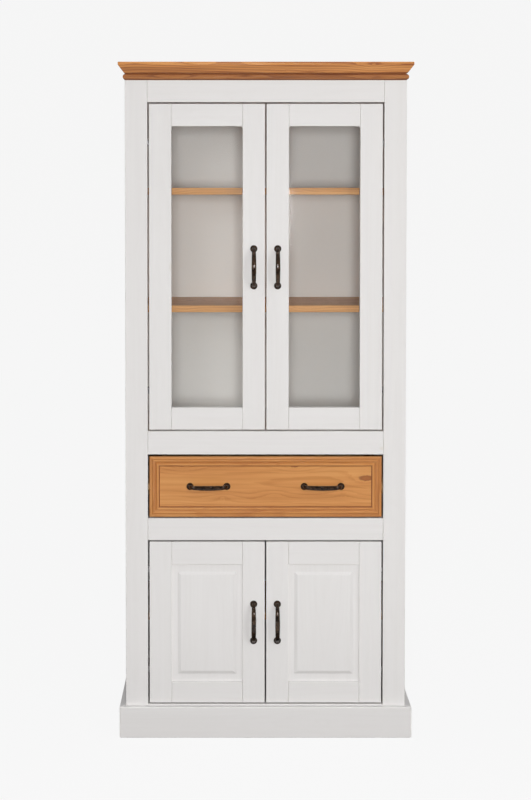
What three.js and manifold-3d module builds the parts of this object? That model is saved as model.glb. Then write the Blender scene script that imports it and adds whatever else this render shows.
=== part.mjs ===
// Pantry cabinet: a tall carcass with two glazed doors over a drawer over two panelled doors.
// Millimetres. +Z is up, the doors face -Y, and the origin is the middle of the footprint on the
// floor. Inside the model the front plane of the posts is y = 0 and y grows towards the back.
import * as THREE from "three";
import { mergeVertices } from "three/addons/utils/BufferGeometryUtils.js";
import Module from "manifold-3d";

const wasm = await Module();
wasm.setup();

// Carcass.
const HEIGHT = 1760;
const BODY_HALF_WIDTH = 365;
const BODY_DEPTH = 400;
const HANDLE_PROJECTION = 30;
const BOARD = 18;
const POST_WIDTH = 58;
const BACK_THICKNESS = 4;
const BACK_LIFT = 20;
const POST_INNER = BODY_HALF_WIDTH - POST_WIDTH;
const SIDE_INNER = BODY_HALF_WIDTH - BOARD;
const BACK_FRONT = BODY_DEPTH - BACK_THICKNESS;

// Heights of the cross members, low edge then high edge.
const BOTTOM_BOARD_Z = [66, 84];
const LOWER_DOOR_Z = [88, 512];
const LOWER_RAIL_Z = [516, 574];
const DRAWER_Z = [577, 736];
const UPPER_RAIL_Z = [741, 802];
const UPPER_DOOR_Z = [806, 1653];
const TOP_RAIL_Z = [1657, 1714];

// Crown and plinth.
const CROWN_HALF_WIDTH = 382;
const BEAD_HALF_WIDTH = 368;
const BEAD_HEIGHT = 17;
const BEAD_NOSE = 3;
const CROWN_LIP = 8;
const PLINTH_HEIGHT = 81;
const PLINTH_THICKNESS = 16;
const MITRE_GAP = 0.3;

// Shelves.
const SHELF_FRONT = 58;
const SHELF_BACK = 394;
const SHELF_SIDE_GAP = 0.5;
const SHELF_UNDERSIDES = { shelf_lower: 290, shelf_middle: 1108, shelf_top: 1418 };

// Doors.
const DOOR_EDGE = 303;
const DOOR_MEETING_GAP = 4;
const DOOR_WIDTH = DOOR_EDGE - DOOR_MEETING_GAP / 2;
const DOOR_THICKNESS = 20;
const STILE_WIDTH = 58;
const GLASS_RAIL = 58;
const PANEL_TOP_RAIL = 60;
const PANEL_BOTTOM_RAIL = 54;
const CORNER_CHAMFER = 9;
const REBATE = 8;
const GLASS_FRONT = 12;
const GLASS_THICKNESS = 4;
const FIT_GAP = 0.5;
const PANEL_FIELD_FRONT = 3;
const PANEL_EDGE_FRONT = 9;
const PANEL_BACK = 15;
const PANEL_TONGUE = 8;
const GROOVE_CLEARANCE = 0.3;
const FIELD_SIDE_MARGIN = 24;
const FIELD_END_MARGIN = 29;

// Handles.
const HANDLE_CENTRES = 96;
const HANDLE_FROM_MEETING_EDGE = 29;
const DRAWER_HANDLE_X = 149;
const ROSETTE_RADIUS = 9.5;
const ROSETTE_RIM = 2;
const ROSETTE_HEIGHT = 5;
const ROSETTE_SIDES = 16;
const GRIP_WIDTH = 10;
const GRIP_THICKNESS = 7;
const GRIP_SIDES = 8;
const GRIP_STEPS = 18;

// Concealed hinges, measured from the door's front outer edge, which is the pivot line.
const HINGE_FROM_DOOR_END = { upper: 100, lower: 80 };
const CUP_FROM_EDGE = 22;
const CUP_RADIUS = 17.5;
const CUP_CAVITY_RADIUS = 16;
const CUP_FLANGE_RADIUS = 19.5;
const CUP_FLANGE = 1.2;
const CUP_FLOOR = 7.5;
const CUP_FLOOR_THICKNESS = 1;
const LINK_RADII = [23.5, 26];
const LINK_ANGLES = [19, 122];
const LINK_HALF_HEIGHT = 5;
const LINK_STEPS = 10;
const FORK_RADII = [23.5, 29];
const FORK_ANGLES = [22.5, 80];
const FORK_HEIGHTS = [5.5, 9];
const FORK_STEPS = 6;
const ARM_REACH = [-42, 13];
const ARM_THICKNESS = [26.5, 33];
const ARM_PILLAR_END = -20;
const PLATE_REACH = [-42, -17];
const PLATE_THICKNESS = 3;
const PLATE_HALF_HEIGHT = 25;

// Drawer.
const DRAWER_HALF_WIDTH = 303;
const DRAWER_FRONT_THICKNESS = 20;
const MOULDING_WIDTH = 27;
const MOULDING_DEPTH = 5;
const DRAWER_BOX_Z = [592, 712];
const DRAWER_BOX_HALF_WIDTH = 299;
const DRAWER_BOX_BACK = 360;
const DRAWER_BOARD = 14;
const DRAWER_BOTTOM_Z = [602, 606];
const DRAWER_BOTTOM_TONGUE = 4;
const RUNNER_Z = [632, 672];
const TONGUE_Z = [644, 660];
const TONGUE_INNER = 290.5;
const RUNNER_FRONT = 24;
const RUNNER_BACK = 390;
const RUNNER_CLEARANCE = 0.5;

const CIRCLE_STEPS = 24;

const paint = (color, roughness, metalness = 0) =>
  new THREE.MeshStandardMaterial({ color, roughness, metalness });
const LACQUER = () => paint(0xe6e4e2, 0.5);
const HONEY_PINE = () => paint(0xc68a4c, 0.45);
const CLEAR_PINE = () => paint(0xd9b98a, 0.6);
const BACKBOARD = () => paint(0xc9c5c1, 0.7);
const BRONZE = () => paint(0x3a3029, 0.4, 0.8);
const STEEL = () => paint(0xb9bbbd, 0.3, 0.9);
const GLASS = () =>
  new THREE.MeshStandardMaterial({ color: 0xdfe8ea, roughness: 0.05, transparent: true, opacity: 0.35 });

const X_AXIS = new THREE.Vector3(1, 0, 0);
const Y_AXIS = new THREE.Vector3(0, 1, 0);
const Z_AXIS = new THREE.Vector3(0, 0, 1);
const FORWARD = new THREE.Vector3(0, -1, 0);

// Turns an outline drawn in (y, z) so that it runs along +X.
const RUN_ALONG_X = new THREE.Matrix4().makeBasis(Y_AXIS, Z_AXIS, X_AXIS);
// Turns an outline drawn in (x, z) so that it runs forward, along -Y.
const RUN_FORWARD = new THREE.Matrix4().makeBasis(X_AXIS, Z_AXIS, FORWARD);

function named(name, geometry, material) {
  const mesh = new THREE.Mesh(geometry, material);
  mesh.name = name;
  return mesh;
}

// A box between two corners, as a geometry in place.
function boxGeometry(low, high) {
  const size = high.map((value, axis) => value - low[axis]);
  const middle = high.map((value, axis) => (value + low[axis]) / 2);
  return new THREE.BoxGeometry(...size).translate(...middle);
}

// A straight board between two corners, placed by its position.
function board(name, material, low, high) {
  const size = high.map((value, axis) => value - low[axis]);
  const mesh = named(name, new THREE.BoxGeometry(...size), material);
  mesh.position.set(...high.map((value, axis) => (value + low[axis]) / 2));
  return mesh;
}

function outline(points) {
  return new THREE.Shape(points.map(([x, y]) => new THREE.Vector2(x, y)));
}

function prism(shape, depth, curveSegments = 1) {
  return new THREE.ExtrudeGeometry(shape, { depth, bevelEnabled: false, curveSegments });
}

function toSolid(geometry) {
  const bare = geometry.clone();
  bare.deleteAttribute("normal");
  bare.deleteAttribute("uv");
  const merged = mergeVertices(bare, 1e-3);
  return new wasm.Manifold(
    new wasm.Mesh({
      numProp: 3,
      vertProperties: merged.getAttribute("position").array,
      triVerts: Uint32Array.from(merged.getIndex().array),
    }),
  );
}

function toGeometry(solid) {
  const { vertProperties, triVerts } = solid.getMesh();
  const geometry = new THREE.BufferGeometry();
  geometry.setAttribute("position", new THREE.BufferAttribute(vertProperties, 3));
  geometry.setIndex(new THREE.BufferAttribute(triVerts, 1));
  geometry.computeVertexNormals();
  return geometry;
}

const cut = (solid, geometry) => solid.subtract(toSolid(geometry));
const join = (solid, geometry) => solid.add(toSolid(geometry));

// Boards of the carcass that run between the two sides.
function innerBoard(name, material, [low, high]) {
  return board(name, material, [-SIDE_INNER, BOARD, low], [SIDE_INNER, BACK_FRONT, high]);
}

// The bottom board comes forward between the posts, so its front edge shows above the plinth.
function bottomBoard() {
  const shape = outline([
    [-SIDE_INNER, BOARD],
    [-POST_INNER, BOARD],
    [-POST_INNER, 0],
    [POST_INNER, 0],
    [POST_INNER, BOARD],
    [SIDE_INNER, BOARD],
    [SIDE_INNER, BACK_FRONT],
    [-SIDE_INNER, BACK_FRONT],
  ]);
  const [low, high] = BOTTOM_BOARD_Z;
  const mesh = named("bottom_board", prism(shape, high - low), LACQUER());
  mesh.position.z = low;
  return mesh;
}

// The crown board: a flat top with a short lip, then a slope in to the bead on three sides.
function crownBoard() {
  const bottom = TOP_RAIL_Z[1] + BEAD_HEIGHT;
  const overhang = CROWN_HALF_WIDTH - BEAD_HALF_WIDTH;
  const front = BEAD_HALF_WIDTH - BODY_HALF_WIDTH + overhang;
  const back = BODY_DEPTH;
  const lengthwise = prism(
    outline([
      [-front + overhang, bottom],
      [back, bottom],
      [back, HEIGHT],
      [-front, HEIGHT],
      [-front, HEIGHT - CROWN_LIP],
    ]),
    2 * CROWN_HALF_WIDTH,
  );
  lengthwise.applyMatrix4(RUN_ALONG_X).translate(-CROWN_HALF_WIDTH, 0, 0);
  const crosswise = prism(
    outline([
      [-BEAD_HALF_WIDTH, bottom],
      [BEAD_HALF_WIDTH, bottom],
      [CROWN_HALF_WIDTH, HEIGHT - CROWN_LIP],
      [CROWN_HALF_WIDTH, HEIGHT],
      [-CROWN_HALF_WIDTH, HEIGHT],
      [-CROWN_HALF_WIDTH, HEIGHT - CROWN_LIP],
    ]),
    back + front,
  );
  crosswise.applyMatrix4(RUN_FORWARD).translate(0, back, 0);
  const solid = toSolid(lengthwise).intersect(toSolid(crosswise));
  return named("crown_board", toGeometry(solid), HONEY_PINE());
}

function crownBaseBoard() {
  const low = TOP_RAIL_Z[1];
  return board(
    "crown_base_board",
    HONEY_PINE(),
    [-BEAD_HALF_WIDTH, -BEAD_NOSE, low],
    [BEAD_HALF_WIDTH, BODY_DEPTH, low + BEAD_HEIGHT],
  );
}

// The plinth front, with both ends mitred to meet the side boards.
function plinthFront() {
  const outer = BODY_HALF_WIDTH + PLINTH_THICKNESS;
  const shape = outline([
    [-outer, -PLINTH_THICKNESS],
    [outer, -PLINTH_THICKNESS],
    [BODY_HALF_WIDTH, 0],
    [-BODY_HALF_WIDTH, 0],
  ]);
  return named("plinth_front", prism(shape, PLINTH_HEIGHT), LACQUER());
}

function plinthSide(name, side) {
  const shape = outline([
    [side * BODY_HALF_WIDTH, MITRE_GAP],
    [side * (BODY_HALF_WIDTH + PLINTH_THICKNESS), MITRE_GAP - PLINTH_THICKNESS],
    [side * (BODY_HALF_WIDTH + PLINTH_THICKNESS), BODY_DEPTH],
    [side * BODY_HALF_WIDTH, BODY_DEPTH],
  ]);
  return named(name, prism(shape, PLINTH_HEIGHT), LACQUER());
}

// A wooden runner: a batten on the cabinet side with a tongue that the drawer side's groove rides on.
function drawerRunner(name, side) {
  const [low, high] = RUNNER_Z;
  const [tongueLow, tongueHigh] = TONGUE_Z;
  const shape = outline([
    [side * SIDE_INNER, low],
    [side * POST_INNER, low],
    [side * POST_INNER, tongueLow],
    [side * TONGUE_INNER, tongueLow],
    [side * TONGUE_INNER, tongueHigh],
    [side * POST_INNER, tongueHigh],
    [side * POST_INNER, high],
    [side * SIDE_INNER, high],
  ]);
  const geometry = prism(shape, RUNNER_BACK - RUNNER_FRONT).applyMatrix4(RUN_FORWARD);
  const mesh = named(name, geometry, CLEAR_PINE());
  mesh.position.y = RUNNER_BACK;
  return mesh;
}

function shelf(name, underside) {
  const half = SIDE_INNER - SHELF_SIDE_GAP;
  return board(
    name,
    HONEY_PINE(),
    [-half, SHELF_FRONT, underside],
    [half, SHELF_BACK, underside + BOARD],
  );
}

function carcass() {
  const group = new THREE.Group();
  for (const [word, side] of [["left", -1], ["right", 1]]) {
    const outer = side * BODY_HALF_WIDTH;
    const [panelLow, panelHigh] = [outer, side * SIDE_INNER].sort((a, b) => a - b);
    const [postLow, postHigh] = [outer, side * POST_INNER].sort((a, b) => a - b);
    const top = TOP_RAIL_Z[1];
    group.add(board(`side_panel_${word}`, LACQUER(), [panelLow, BOARD, 0], [panelHigh, BODY_DEPTH, top]));
    group.add(board(`front_post_${word}`, LACQUER(), [postLow, 0, 0], [postHigh, BOARD, top]));
    group.add(plinthSide(`plinth_${word}`, side));
    group.add(drawerRunner(`drawer_runner_${word}`, side));
  }
  const rails = { lower_cross_rail: LOWER_RAIL_Z, upper_cross_rail: UPPER_RAIL_Z, top_rail: TOP_RAIL_Z };
  for (const [name, [low, high]] of Object.entries(rails)) {
    group.add(board(name, LACQUER(), [-POST_INNER, 0, low], [POST_INNER, BOARD, high]));
  }
  group.add(bottomBoard());
  group.add(innerBoard("drawer_bay_floor", LACQUER(), [LOWER_RAIL_Z[1] - BOARD, LOWER_RAIL_Z[1]]));
  group.add(innerBoard("display_floor", LACQUER(), [UPPER_RAIL_Z[1] - BOARD, UPPER_RAIL_Z[1]]));
  group.add(
    board(
      "back_panel",
      BACKBOARD(),
      [-SIDE_INNER, BACK_FRONT, BACK_LIFT],
      [SIDE_INNER, BODY_DEPTH, TOP_RAIL_Z[1]],
    ),
  );
  group.add(crownBaseBoard());
  group.add(crownBoard());
  group.add(plinthFront());
  for (const [name, underside] of Object.entries(SHELF_UNDERSIDES)) {
    group.add(shelf(name, underside));
  }
  return group;
}

// A bow handle that stands on two domed rosettes, drawn upright with its feet on y = 0.
function bowHandle(name) {
  const half = HANDLE_CENTRES / 2;
  const crest = GRIP_THICKNESS / 2 - HANDLE_PROJECTION;
  const rise = [
    [1, -2],
    [0.97, -9],
    [0.84, -18.5],
    [0.5, -24.5],
    [0, crest],
  ];
  const fall = rise.slice(0, -1).reverse().map(([along, out]) => [-along, out]);
  const points = [...rise, ...fall].map(([along, out]) => new THREE.Vector3(0, out, along * half));
  const path = new THREE.CatmullRomCurve3(points);
  const section = new THREE.Shape();
  section.absellipse(0, 0, GRIP_WIDTH / 2, GRIP_THICKNESS / 2, 0, 2 * Math.PI, false, 0);
  const grip = new THREE.ExtrudeGeometry(section, {
    steps: GRIP_STEPS,
    curveSegments: GRIP_SIDES / 2,
    extrudePath: path,
  });
  let solid = toSolid(grip);
  for (const end of [-half, half]) {
    const dome = [[0, 0], [ROSETTE_RADIUS, 0], [ROSETTE_RADIUS, ROSETTE_RIM]];
    for (const angle of [30, 60]) {
      const turn = THREE.MathUtils.degToRad(angle);
      const height = ROSETTE_RIM + (ROSETTE_HEIGHT - ROSETTE_RIM) * Math.sin(turn);
      dome.push([ROSETTE_RADIUS * Math.cos(turn), height]);
    }
    dome.push([0, ROSETTE_HEIGHT]);
    const profile = dome.map(([radius, height]) => new THREE.Vector2(radius, height));
    const rosette = new THREE.LatheGeometry(profile, ROSETTE_SIDES).rotateX(Math.PI).translate(0, 0, end);
    solid = join(solid, rosette);
  }
  const behindDoor = boxGeometry([-20, 0, -2 * half], [20, 20, 2 * half]);
  return named(name, toGeometry(cut(solid, behindDoor)), BRONZE());
}

// Points of a ring sector in plan, measured from the pivot line, with x towards the door's middle.
function sector([inner, outer], [from, to], inward, steps) {
  const at = (radius, step) => {
    const angle = THREE.MathUtils.degToRad(from + ((to - from) * step) / steps);
    return [inward * radius * Math.cos(angle), radius * Math.sin(angle)];
  };
  const out = Array.from({ length: steps + 1 }, (_, step) => at(outer, step));
  const back = Array.from({ length: steps + 1 }, (_, step) => at(inner, steps - step));
  return outline([...out, ...back]);
}

// Box corners given by distances from the pivot line towards the door's middle.
function hingeBox(inward, [near, far], [front, back], halfHeight) {
  const [low, high] = [inward * near, inward * far].sort((a, b) => a - b);
  return boxGeometry([low, front, -halfHeight], [high, back, halfHeight]);
}

// The hinge cup sunk in the door's back, with the curved link that swings round the post's edge.
function hingeCup(name, inward) {
  const profile = [
    [0, CUP_FLOOR],
    [CUP_RADIUS, CUP_FLOOR],
    [CUP_RADIUS, DOOR_THICKNESS],
    [CUP_FLANGE_RADIUS, DOOR_THICKNESS],
    [CUP_FLANGE_RADIUS, DOOR_THICKNESS + CUP_FLANGE],
    [CUP_CAVITY_RADIUS, DOOR_THICKNESS + CUP_FLANGE],
    [CUP_CAVITY_RADIUS, CUP_FLOOR + CUP_FLOOR_THICKNESS],
    [0, CUP_FLOOR + CUP_FLOOR_THICKNESS],
  ].map(([radius, depth]) => new THREE.Vector2(radius, depth));
  const cup = new THREE.LatheGeometry(profile, CIRCLE_STEPS).translate(inward * CUP_FROM_EDGE, 0, 0);
  const link = prism(sector(LINK_RADII, LINK_ANGLES, inward, LINK_STEPS), 2 * LINK_HALF_HEIGHT);
  link.translate(0, 0, -LINK_HALF_HEIGHT);
  return named(name, toGeometry(join(toSolid(cup), link)), STEEL());
}

// The hinge arm: a plate on the post's back, a bridge, and a fork that guides the curved link.
function hingeArm(name, inward) {
  const plateBack = BOARD + PLATE_THICKNESS;
  let solid = toSolid(hingeBox(inward, PLATE_REACH, [BOARD, plateBack], PLATE_HALF_HEIGHT));
  const pillar = hingeBox(
    inward,
    [PLATE_REACH[0], ARM_PILLAR_END],
    [plateBack - 1, ARM_THICKNESS[1]],
    FORK_HEIGHTS[1],
  );
  solid = join(solid, pillar);
  solid = join(solid, hingeBox(inward, ARM_REACH, ARM_THICKNESS, FORK_HEIGHTS[1]));
  for (const low of [FORK_HEIGHTS[0], -FORK_HEIGHTS[1]]) {
    const cheek = prism(sector(FORK_RADII, FORK_ANGLES, inward, FORK_STEPS), FORK_HEIGHTS[1] - FORK_HEIGHTS[0]);
    solid = join(solid, cheek.translate(0, 0, low));
  }
  return named(name, toGeometry(solid), STEEL());
}

// The two hinge heights of a door, from the door's lower end.
function hingeHeights(tier, doorHeight) {
  const inset = HINGE_FROM_DOOR_END[tier];
  return { low: inset, high: doorHeight - inset };
}

// A door frame of glued stiles and rails, with recesses for its hinge cups. x runs from the hinge edge.
function doorFrame(inward, doorHeight, tier) {
  const [low, high] = [0, inward * DOOR_WIDTH].sort((a, b) => a - b);
  let solid = toSolid(boxGeometry([low, 0, 0], [high, DOOR_THICKNESS, doorHeight]));
  for (const height of Object.values(hingeHeights(tier, doorHeight))) {
    const radius = CUP_RADIUS + GROOVE_CLEARANCE;
    const depth = DOOR_THICKNESS - CUP_FLOOR + GROOVE_CLEARANCE;
    const hole = new THREE.CylinderGeometry(radius, radius, depth + 1, CIRCLE_STEPS);
    const middle = DOOR_THICKNESS - depth + (depth + 1) / 2;
    solid = cut(solid, hole.translate(inward * CUP_FROM_EDGE, middle, height));
  }
  return solid;
}

// Corners of a band that lies inside the door, stile to stile and rail to rail.
function insideDoor(inward, grow, [front, back], [low, high]) {
  const near = inward * (STILE_WIDTH - grow);
  const far = inward * (DOOR_WIDTH - STILE_WIDTH + grow);
  const [left, right] = [near, far].sort((a, b) => a - b);
  return [[left, front, low - grow], [right, back, high + grow]];
}

function glassOpening(inward, doorHeight) {
  const [[left, , low], [right, , high]] = insideDoor(
    inward,
    0,
    [0, DOOR_THICKNESS],
    [GLASS_RAIL, doorHeight - GLASS_RAIL],
  );
  return outline([
    [left, low],
    [right, low],
    [right, high - CORNER_CHAMFER],
    [right - CORNER_CHAMFER, high],
    [left + CORNER_CHAMFER, high],
    [left, high - CORNER_CHAMFER],
  ]);
}

function glazedDoor(word, inward) {
  const group = new THREE.Group();
  const doorHeight = UPPER_DOOR_Z[1] - UPPER_DOOR_Z[0];
  const sight = [GLASS_RAIL, doorHeight - GLASS_RAIL];
  let frame = doorFrame(inward, doorHeight, "upper");
  const opening = prism(glassOpening(inward, doorHeight), DOOR_THICKNESS + 2);
  frame = cut(frame, opening.applyMatrix4(RUN_FORWARD).translate(0, DOOR_THICKNESS + 1, 0));
  const rebate = boxGeometry(...insideDoor(inward, REBATE, [GLASS_FRONT, DOOR_THICKNESS + 1], sight));
  frame = cut(frame, rebate);
  group.add(named(`door_frame_upper_${word}`, toGeometry(frame), LACQUER()));

  const pane = insideDoor(inward, REBATE - FIT_GAP, [GLASS_FRONT, GLASS_FRONT + GLASS_THICKNESS], sight);
  group.add(board(`glass_pane_${word}`, GLASS(), ...pane));

  const beadSpan = [GLASS_FRONT + GLASS_THICKNESS, DOOR_THICKNESS];
  const beadOuter = toSolid(boxGeometry(...insideDoor(inward, REBATE - FIT_GAP, beadSpan, sight)));
  const beadHole = boxGeometry(...insideDoor(inward, 0, [beadSpan[0] - 1, beadSpan[1] + 1], sight));
  group.add(named(`glazing_bead_${word}`, toGeometry(cut(beadOuter, beadHole)), LACQUER()));
  return finishDoor(group, word, inward, "upper", doorHeight);
}

// The raised panel: a flat field with a slope down to a thin edge that sits in the frame's groove.
function raisedPanel(name, inward, doorHeight) {
  const span = [PANEL_BOTTOM_RAIL, doorHeight - PANEL_TOP_RAIL];
  const [[left, , low], [right, , high]] = insideDoor(inward, PANEL_TONGUE, [0, 0], span);
  const side = FIELD_SIDE_MARGIN + PANEL_TONGUE;
  const end = FIELD_END_MARGIN + PANEL_TONGUE;
  const profile = (from, to, margin) =>
    outline([
      [from, PANEL_EDGE_FRONT],
      [from + margin, PANEL_FIELD_FRONT],
      [to - margin, PANEL_FIELD_FRONT],
      [to, PANEL_EDGE_FRONT],
      [to, PANEL_BACK],
      [from, PANEL_BACK],
    ]);
  const upright = prism(profile(left, right, side), high - low).translate(0, 0, low);
  const alongX = prism(
    outline(profile(low, high, end).getPoints().map((point) => [point.y, point.x])),
    right - left,
  );
  alongX.applyMatrix4(RUN_ALONG_X).translate(left, 0, 0);
  return named(name, toGeometry(toSolid(upright).intersect(toSolid(alongX))), LACQUER());
}

function panelledDoor(word, inward) {
  const group = new THREE.Group();
  const doorHeight = LOWER_DOOR_Z[1] - LOWER_DOOR_Z[0];
  const span = [PANEL_BOTTOM_RAIL, doorHeight - PANEL_TOP_RAIL];
  let frame = doorFrame(inward, doorHeight, "lower");
  frame = cut(frame, boxGeometry(...insideDoor(inward, 0, [-1, DOOR_THICKNESS + 1], span)));
  const grooveSpan = [PANEL_EDGE_FRONT - GROOVE_CLEARANCE - 1.5, PANEL_BACK + GROOVE_CLEARANCE];
  const groove = insideDoor(inward, PANEL_TONGUE + GROOVE_CLEARANCE, grooveSpan, span);
  frame = cut(frame, boxGeometry(...groove));
  group.add(named(`door_frame_lower_${word}`, toGeometry(frame), LACQUER()));
  group.add(raisedPanel(`door_panel_lower_${word}`, inward, doorHeight));
  return finishDoor(group, word, inward, "lower", doorHeight);
}

// Adds the handle and the door's half of its hinges.
function finishDoor(group, word, inward, tier, doorHeight) {
  const handle = bowHandle(`handle_${tier}_${word}`);
  handle.position.set(inward * (DOOR_WIDTH - HANDLE_FROM_MEETING_EDGE), 0, doorHeight / 2);
  group.add(handle);
  for (const [place, height] of Object.entries(hingeHeights(tier, doorHeight))) {
    const cup = hingeCup(`hinge_cup_${tier}_${word}_${place}`, inward);
    cup.position.set(0, 0, height);
    group.add(cup);
  }
  return group;
}

// Both doors of a tier with the hinge arms that stay on the posts.
function doorTier(tier, build, [bottom, top]) {
  const group = new THREE.Group();
  for (const [word, inward] of [["left", 1], ["right", -1]]) {
    const door = build(word, inward);
    door.position.set(-inward * DOOR_EDGE, 0, bottom);
    group.add(door);
    for (const [place, height] of Object.entries(hingeHeights(tier, top - bottom))) {
      const arm = hingeArm(`hinge_arm_${tier}_${word}_${place}`, inward);
      arm.position.set(-inward * DOOR_EDGE, 0, bottom + height);
      group.add(arm);
    }
  }
  return group;
}

// The moulding round the drawer's front, planted on the board.
function drawerMoulding() {
  const [low, high] = DRAWER_Z;
  const outer = boxGeometry([-DRAWER_HALF_WIDTH, 0, low], [DRAWER_HALF_WIDTH, MOULDING_DEPTH, high]);
  const inner = DRAWER_HALF_WIDTH - MOULDING_WIDTH;
  const field = boxGeometry(
    [-inner, -1, low + MOULDING_WIDTH],
    [inner, MOULDING_DEPTH + 1, high - MOULDING_WIDTH],
  );
  return named("drawer_front_moulding", toGeometry(cut(toSolid(outer), field)), HONEY_PINE());
}

// A drawer side with a groove for the runner outside and one for the bottom inside.
function drawerSide(name, side) {
  const outer = side * DRAWER_BOX_HALF_WIDTH;
  const inner = side * (DRAWER_BOX_HALF_WIDTH - DRAWER_BOARD);
  const front = DRAWER_FRONT_THICKNESS;
  const span = (a, b) => [a, b].sort((p, q) => p - q);
  const [left, right] = span(outer, inner);
  let solid = toSolid(boxGeometry([left, front, DRAWER_BOX_Z[0]], [right, DRAWER_BOX_BACK, DRAWER_BOX_Z[1]]));
  const [runLow, runHigh] = span(side * (TONGUE_INNER - RUNNER_CLEARANCE), outer + side);
  const runnerGroove = boxGeometry(
    [runLow, front - 1, TONGUE_Z[0] - RUNNER_CLEARANCE],
    [runHigh, DRAWER_BOX_BACK + 1, TONGUE_Z[1] + RUNNER_CLEARANCE],
  );
  const [slotLow, slotHigh] = span(inner - side, inner + side * (DRAWER_BOTTOM_TONGUE + GROOVE_CLEARANCE));
  const bottomGroove = boxGeometry(
    [slotLow, front - 1, DRAWER_BOTTOM_Z[0] - GROOVE_CLEARANCE],
    [slotHigh, DRAWER_BOX_BACK + 1, DRAWER_BOTTOM_Z[1] + GROOVE_CLEARANCE],
  );
  solid = cut(cut(solid, runnerGroove), bottomGroove);
  return named(name, toGeometry(solid), CLEAR_PINE());
}

function drawer() {
  const group = new THREE.Group();
  const [low, high] = DRAWER_Z;
  const inner = DRAWER_BOX_HALF_WIDTH - DRAWER_BOARD;
  const bottomHalf = inner + DRAWER_BOTTOM_TONGUE;
  group.add(
    board(
      "drawer_front",
      HONEY_PINE(),
      [-DRAWER_HALF_WIDTH, MOULDING_DEPTH, low],
      [DRAWER_HALF_WIDTH, DRAWER_FRONT_THICKNESS, high],
    ),
  );
  group.add(drawerMoulding());
  for (const [word, side] of [["left", -1], ["right", 1]]) {
    group.add(drawerSide(`drawer_side_${word}`, side));
    const handle = bowHandle(`drawer_handle_${word}`);
    handle.position.set(side * DRAWER_HANDLE_X, MOULDING_DEPTH, (low + high) / 2);
    handle.rotation.y = Math.PI / 2;
    group.add(handle);
  }
  group.add(
    board(
      "drawer_back",
      CLEAR_PINE(),
      [-inner, DRAWER_BOX_BACK - DRAWER_BOARD, DRAWER_BOTTOM_Z[1]],
      [inner, DRAWER_BOX_BACK, DRAWER_BOX_Z[1]],
    ),
  );
  group.add(
    board(
      "drawer_bottom",
      BACKBOARD(),
      [-bottomHalf, DRAWER_FRONT_THICKNESS, DRAWER_BOTTOM_Z[0]],
      [bottomHalf, DRAWER_BOX_BACK, DRAWER_BOTTOM_Z[1]],
    ),
  );
  return group;
}

const cabinet = new THREE.Group();
cabinet.add(carcass());
cabinet.add(doorTier("upper", glazedDoor, UPPER_DOOR_Z));
cabinet.add(doorTier("lower", panelledDoor, LOWER_DOOR_Z));
cabinet.add(drawer());
// Half of the whole depth, handles included, lies in front of the origin.
cabinet.position.y = HANDLE_PROJECTION - (HANDLE_PROJECTION + BODY_DEPTH) / 2;

export default cabinet;
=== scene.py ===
"""A tall pantry cabinet in white lacquered pine, with a honey-stained crown, shelves and drawer front.

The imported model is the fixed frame. Each class below makes one sub-assembly of the cabinet board by board,
with the grain running the way a joiner would lay it, and dresses every board in its finish.
Sizes are in metres.
"""

import logging
import math
import random
from dataclasses import dataclass
from enum import Enum
from typing import Iterable, Sequence

import bmesh
import bpy
from mathutils import Matrix, Vector


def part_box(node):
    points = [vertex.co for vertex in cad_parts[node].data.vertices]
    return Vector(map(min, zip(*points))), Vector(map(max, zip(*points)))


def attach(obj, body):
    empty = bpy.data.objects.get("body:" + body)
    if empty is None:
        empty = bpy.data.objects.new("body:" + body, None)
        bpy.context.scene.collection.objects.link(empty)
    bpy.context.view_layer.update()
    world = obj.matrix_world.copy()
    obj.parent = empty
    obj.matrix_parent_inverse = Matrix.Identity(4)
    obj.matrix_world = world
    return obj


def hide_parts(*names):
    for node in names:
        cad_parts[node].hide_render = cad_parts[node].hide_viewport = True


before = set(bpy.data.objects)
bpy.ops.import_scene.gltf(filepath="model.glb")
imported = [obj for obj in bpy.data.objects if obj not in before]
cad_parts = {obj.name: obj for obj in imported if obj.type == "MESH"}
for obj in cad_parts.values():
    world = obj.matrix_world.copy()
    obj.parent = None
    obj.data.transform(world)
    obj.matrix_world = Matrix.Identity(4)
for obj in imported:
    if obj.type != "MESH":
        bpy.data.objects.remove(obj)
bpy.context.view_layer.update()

LOG = logging.getLogger("pantry_cabinet")
SEED = 1760
MM = 0.001
JOINT_LINE = 0.25 * MM
SHARP_ANGLE = math.radians(38)
EASED_ANGLE = math.radians(32)
PANEL_ANGLE = math.radians(14)

Socket = bpy.types.NodeSocket
Piece = bpy.types.Object
Colour = tuple[float, float, float, float]
Profile = Sequence[tuple[float, ...]]


# ---------------------------------------------------------------- directions and names


class Way(Enum):
    """A direction that a grain runs in, or that a wide face looks in."""

    ACROSS = (1.0, 0.0, 0.0)
    FRONT = (0.0, -1.0, 0.0)
    UP = (0.0, 0.0, 1.0)

    def vector(self) -> Vector:
        """Returns the direction as a vector."""
        return Vector(self.value)


class Lay(Enum):
    """How a board lies: the way its grain runs, then the way its wide face looks."""

    RAIL = (Way.ACROSS, Way.FRONT)
    STILE = (Way.UP, Way.FRONT)
    CHEEK = (Way.UP, Way.ACROSS)
    SHELF = (Way.ACROSS, Way.UP)
    RETURN = (Way.FRONT, Way.ACROSS)

    def turn(self) -> Matrix:
        """Returns the turn from grain space, with x along the grain and z out of the face, to the frame."""
        along, out = self.value[0].vector(), self.value[1].vector()
        return Matrix((along, out.cross(along), out)).transposed()


class Side(Enum):
    """The left or right half of the cabinet, as the viewer sees it."""

    LEFT = -1
    RIGHT = 1

    @property
    def word(self) -> str:
        """Returns the side's name as the frame's nodes use it."""
        return self.name.lower()


class Tier(Enum):
    """The glazed doors above the drawer, or the panelled doors below it."""

    UPPER = "upper"
    LOWER = "lower"


CARCASS = "carcass"
DRAWER = "drawer"


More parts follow.
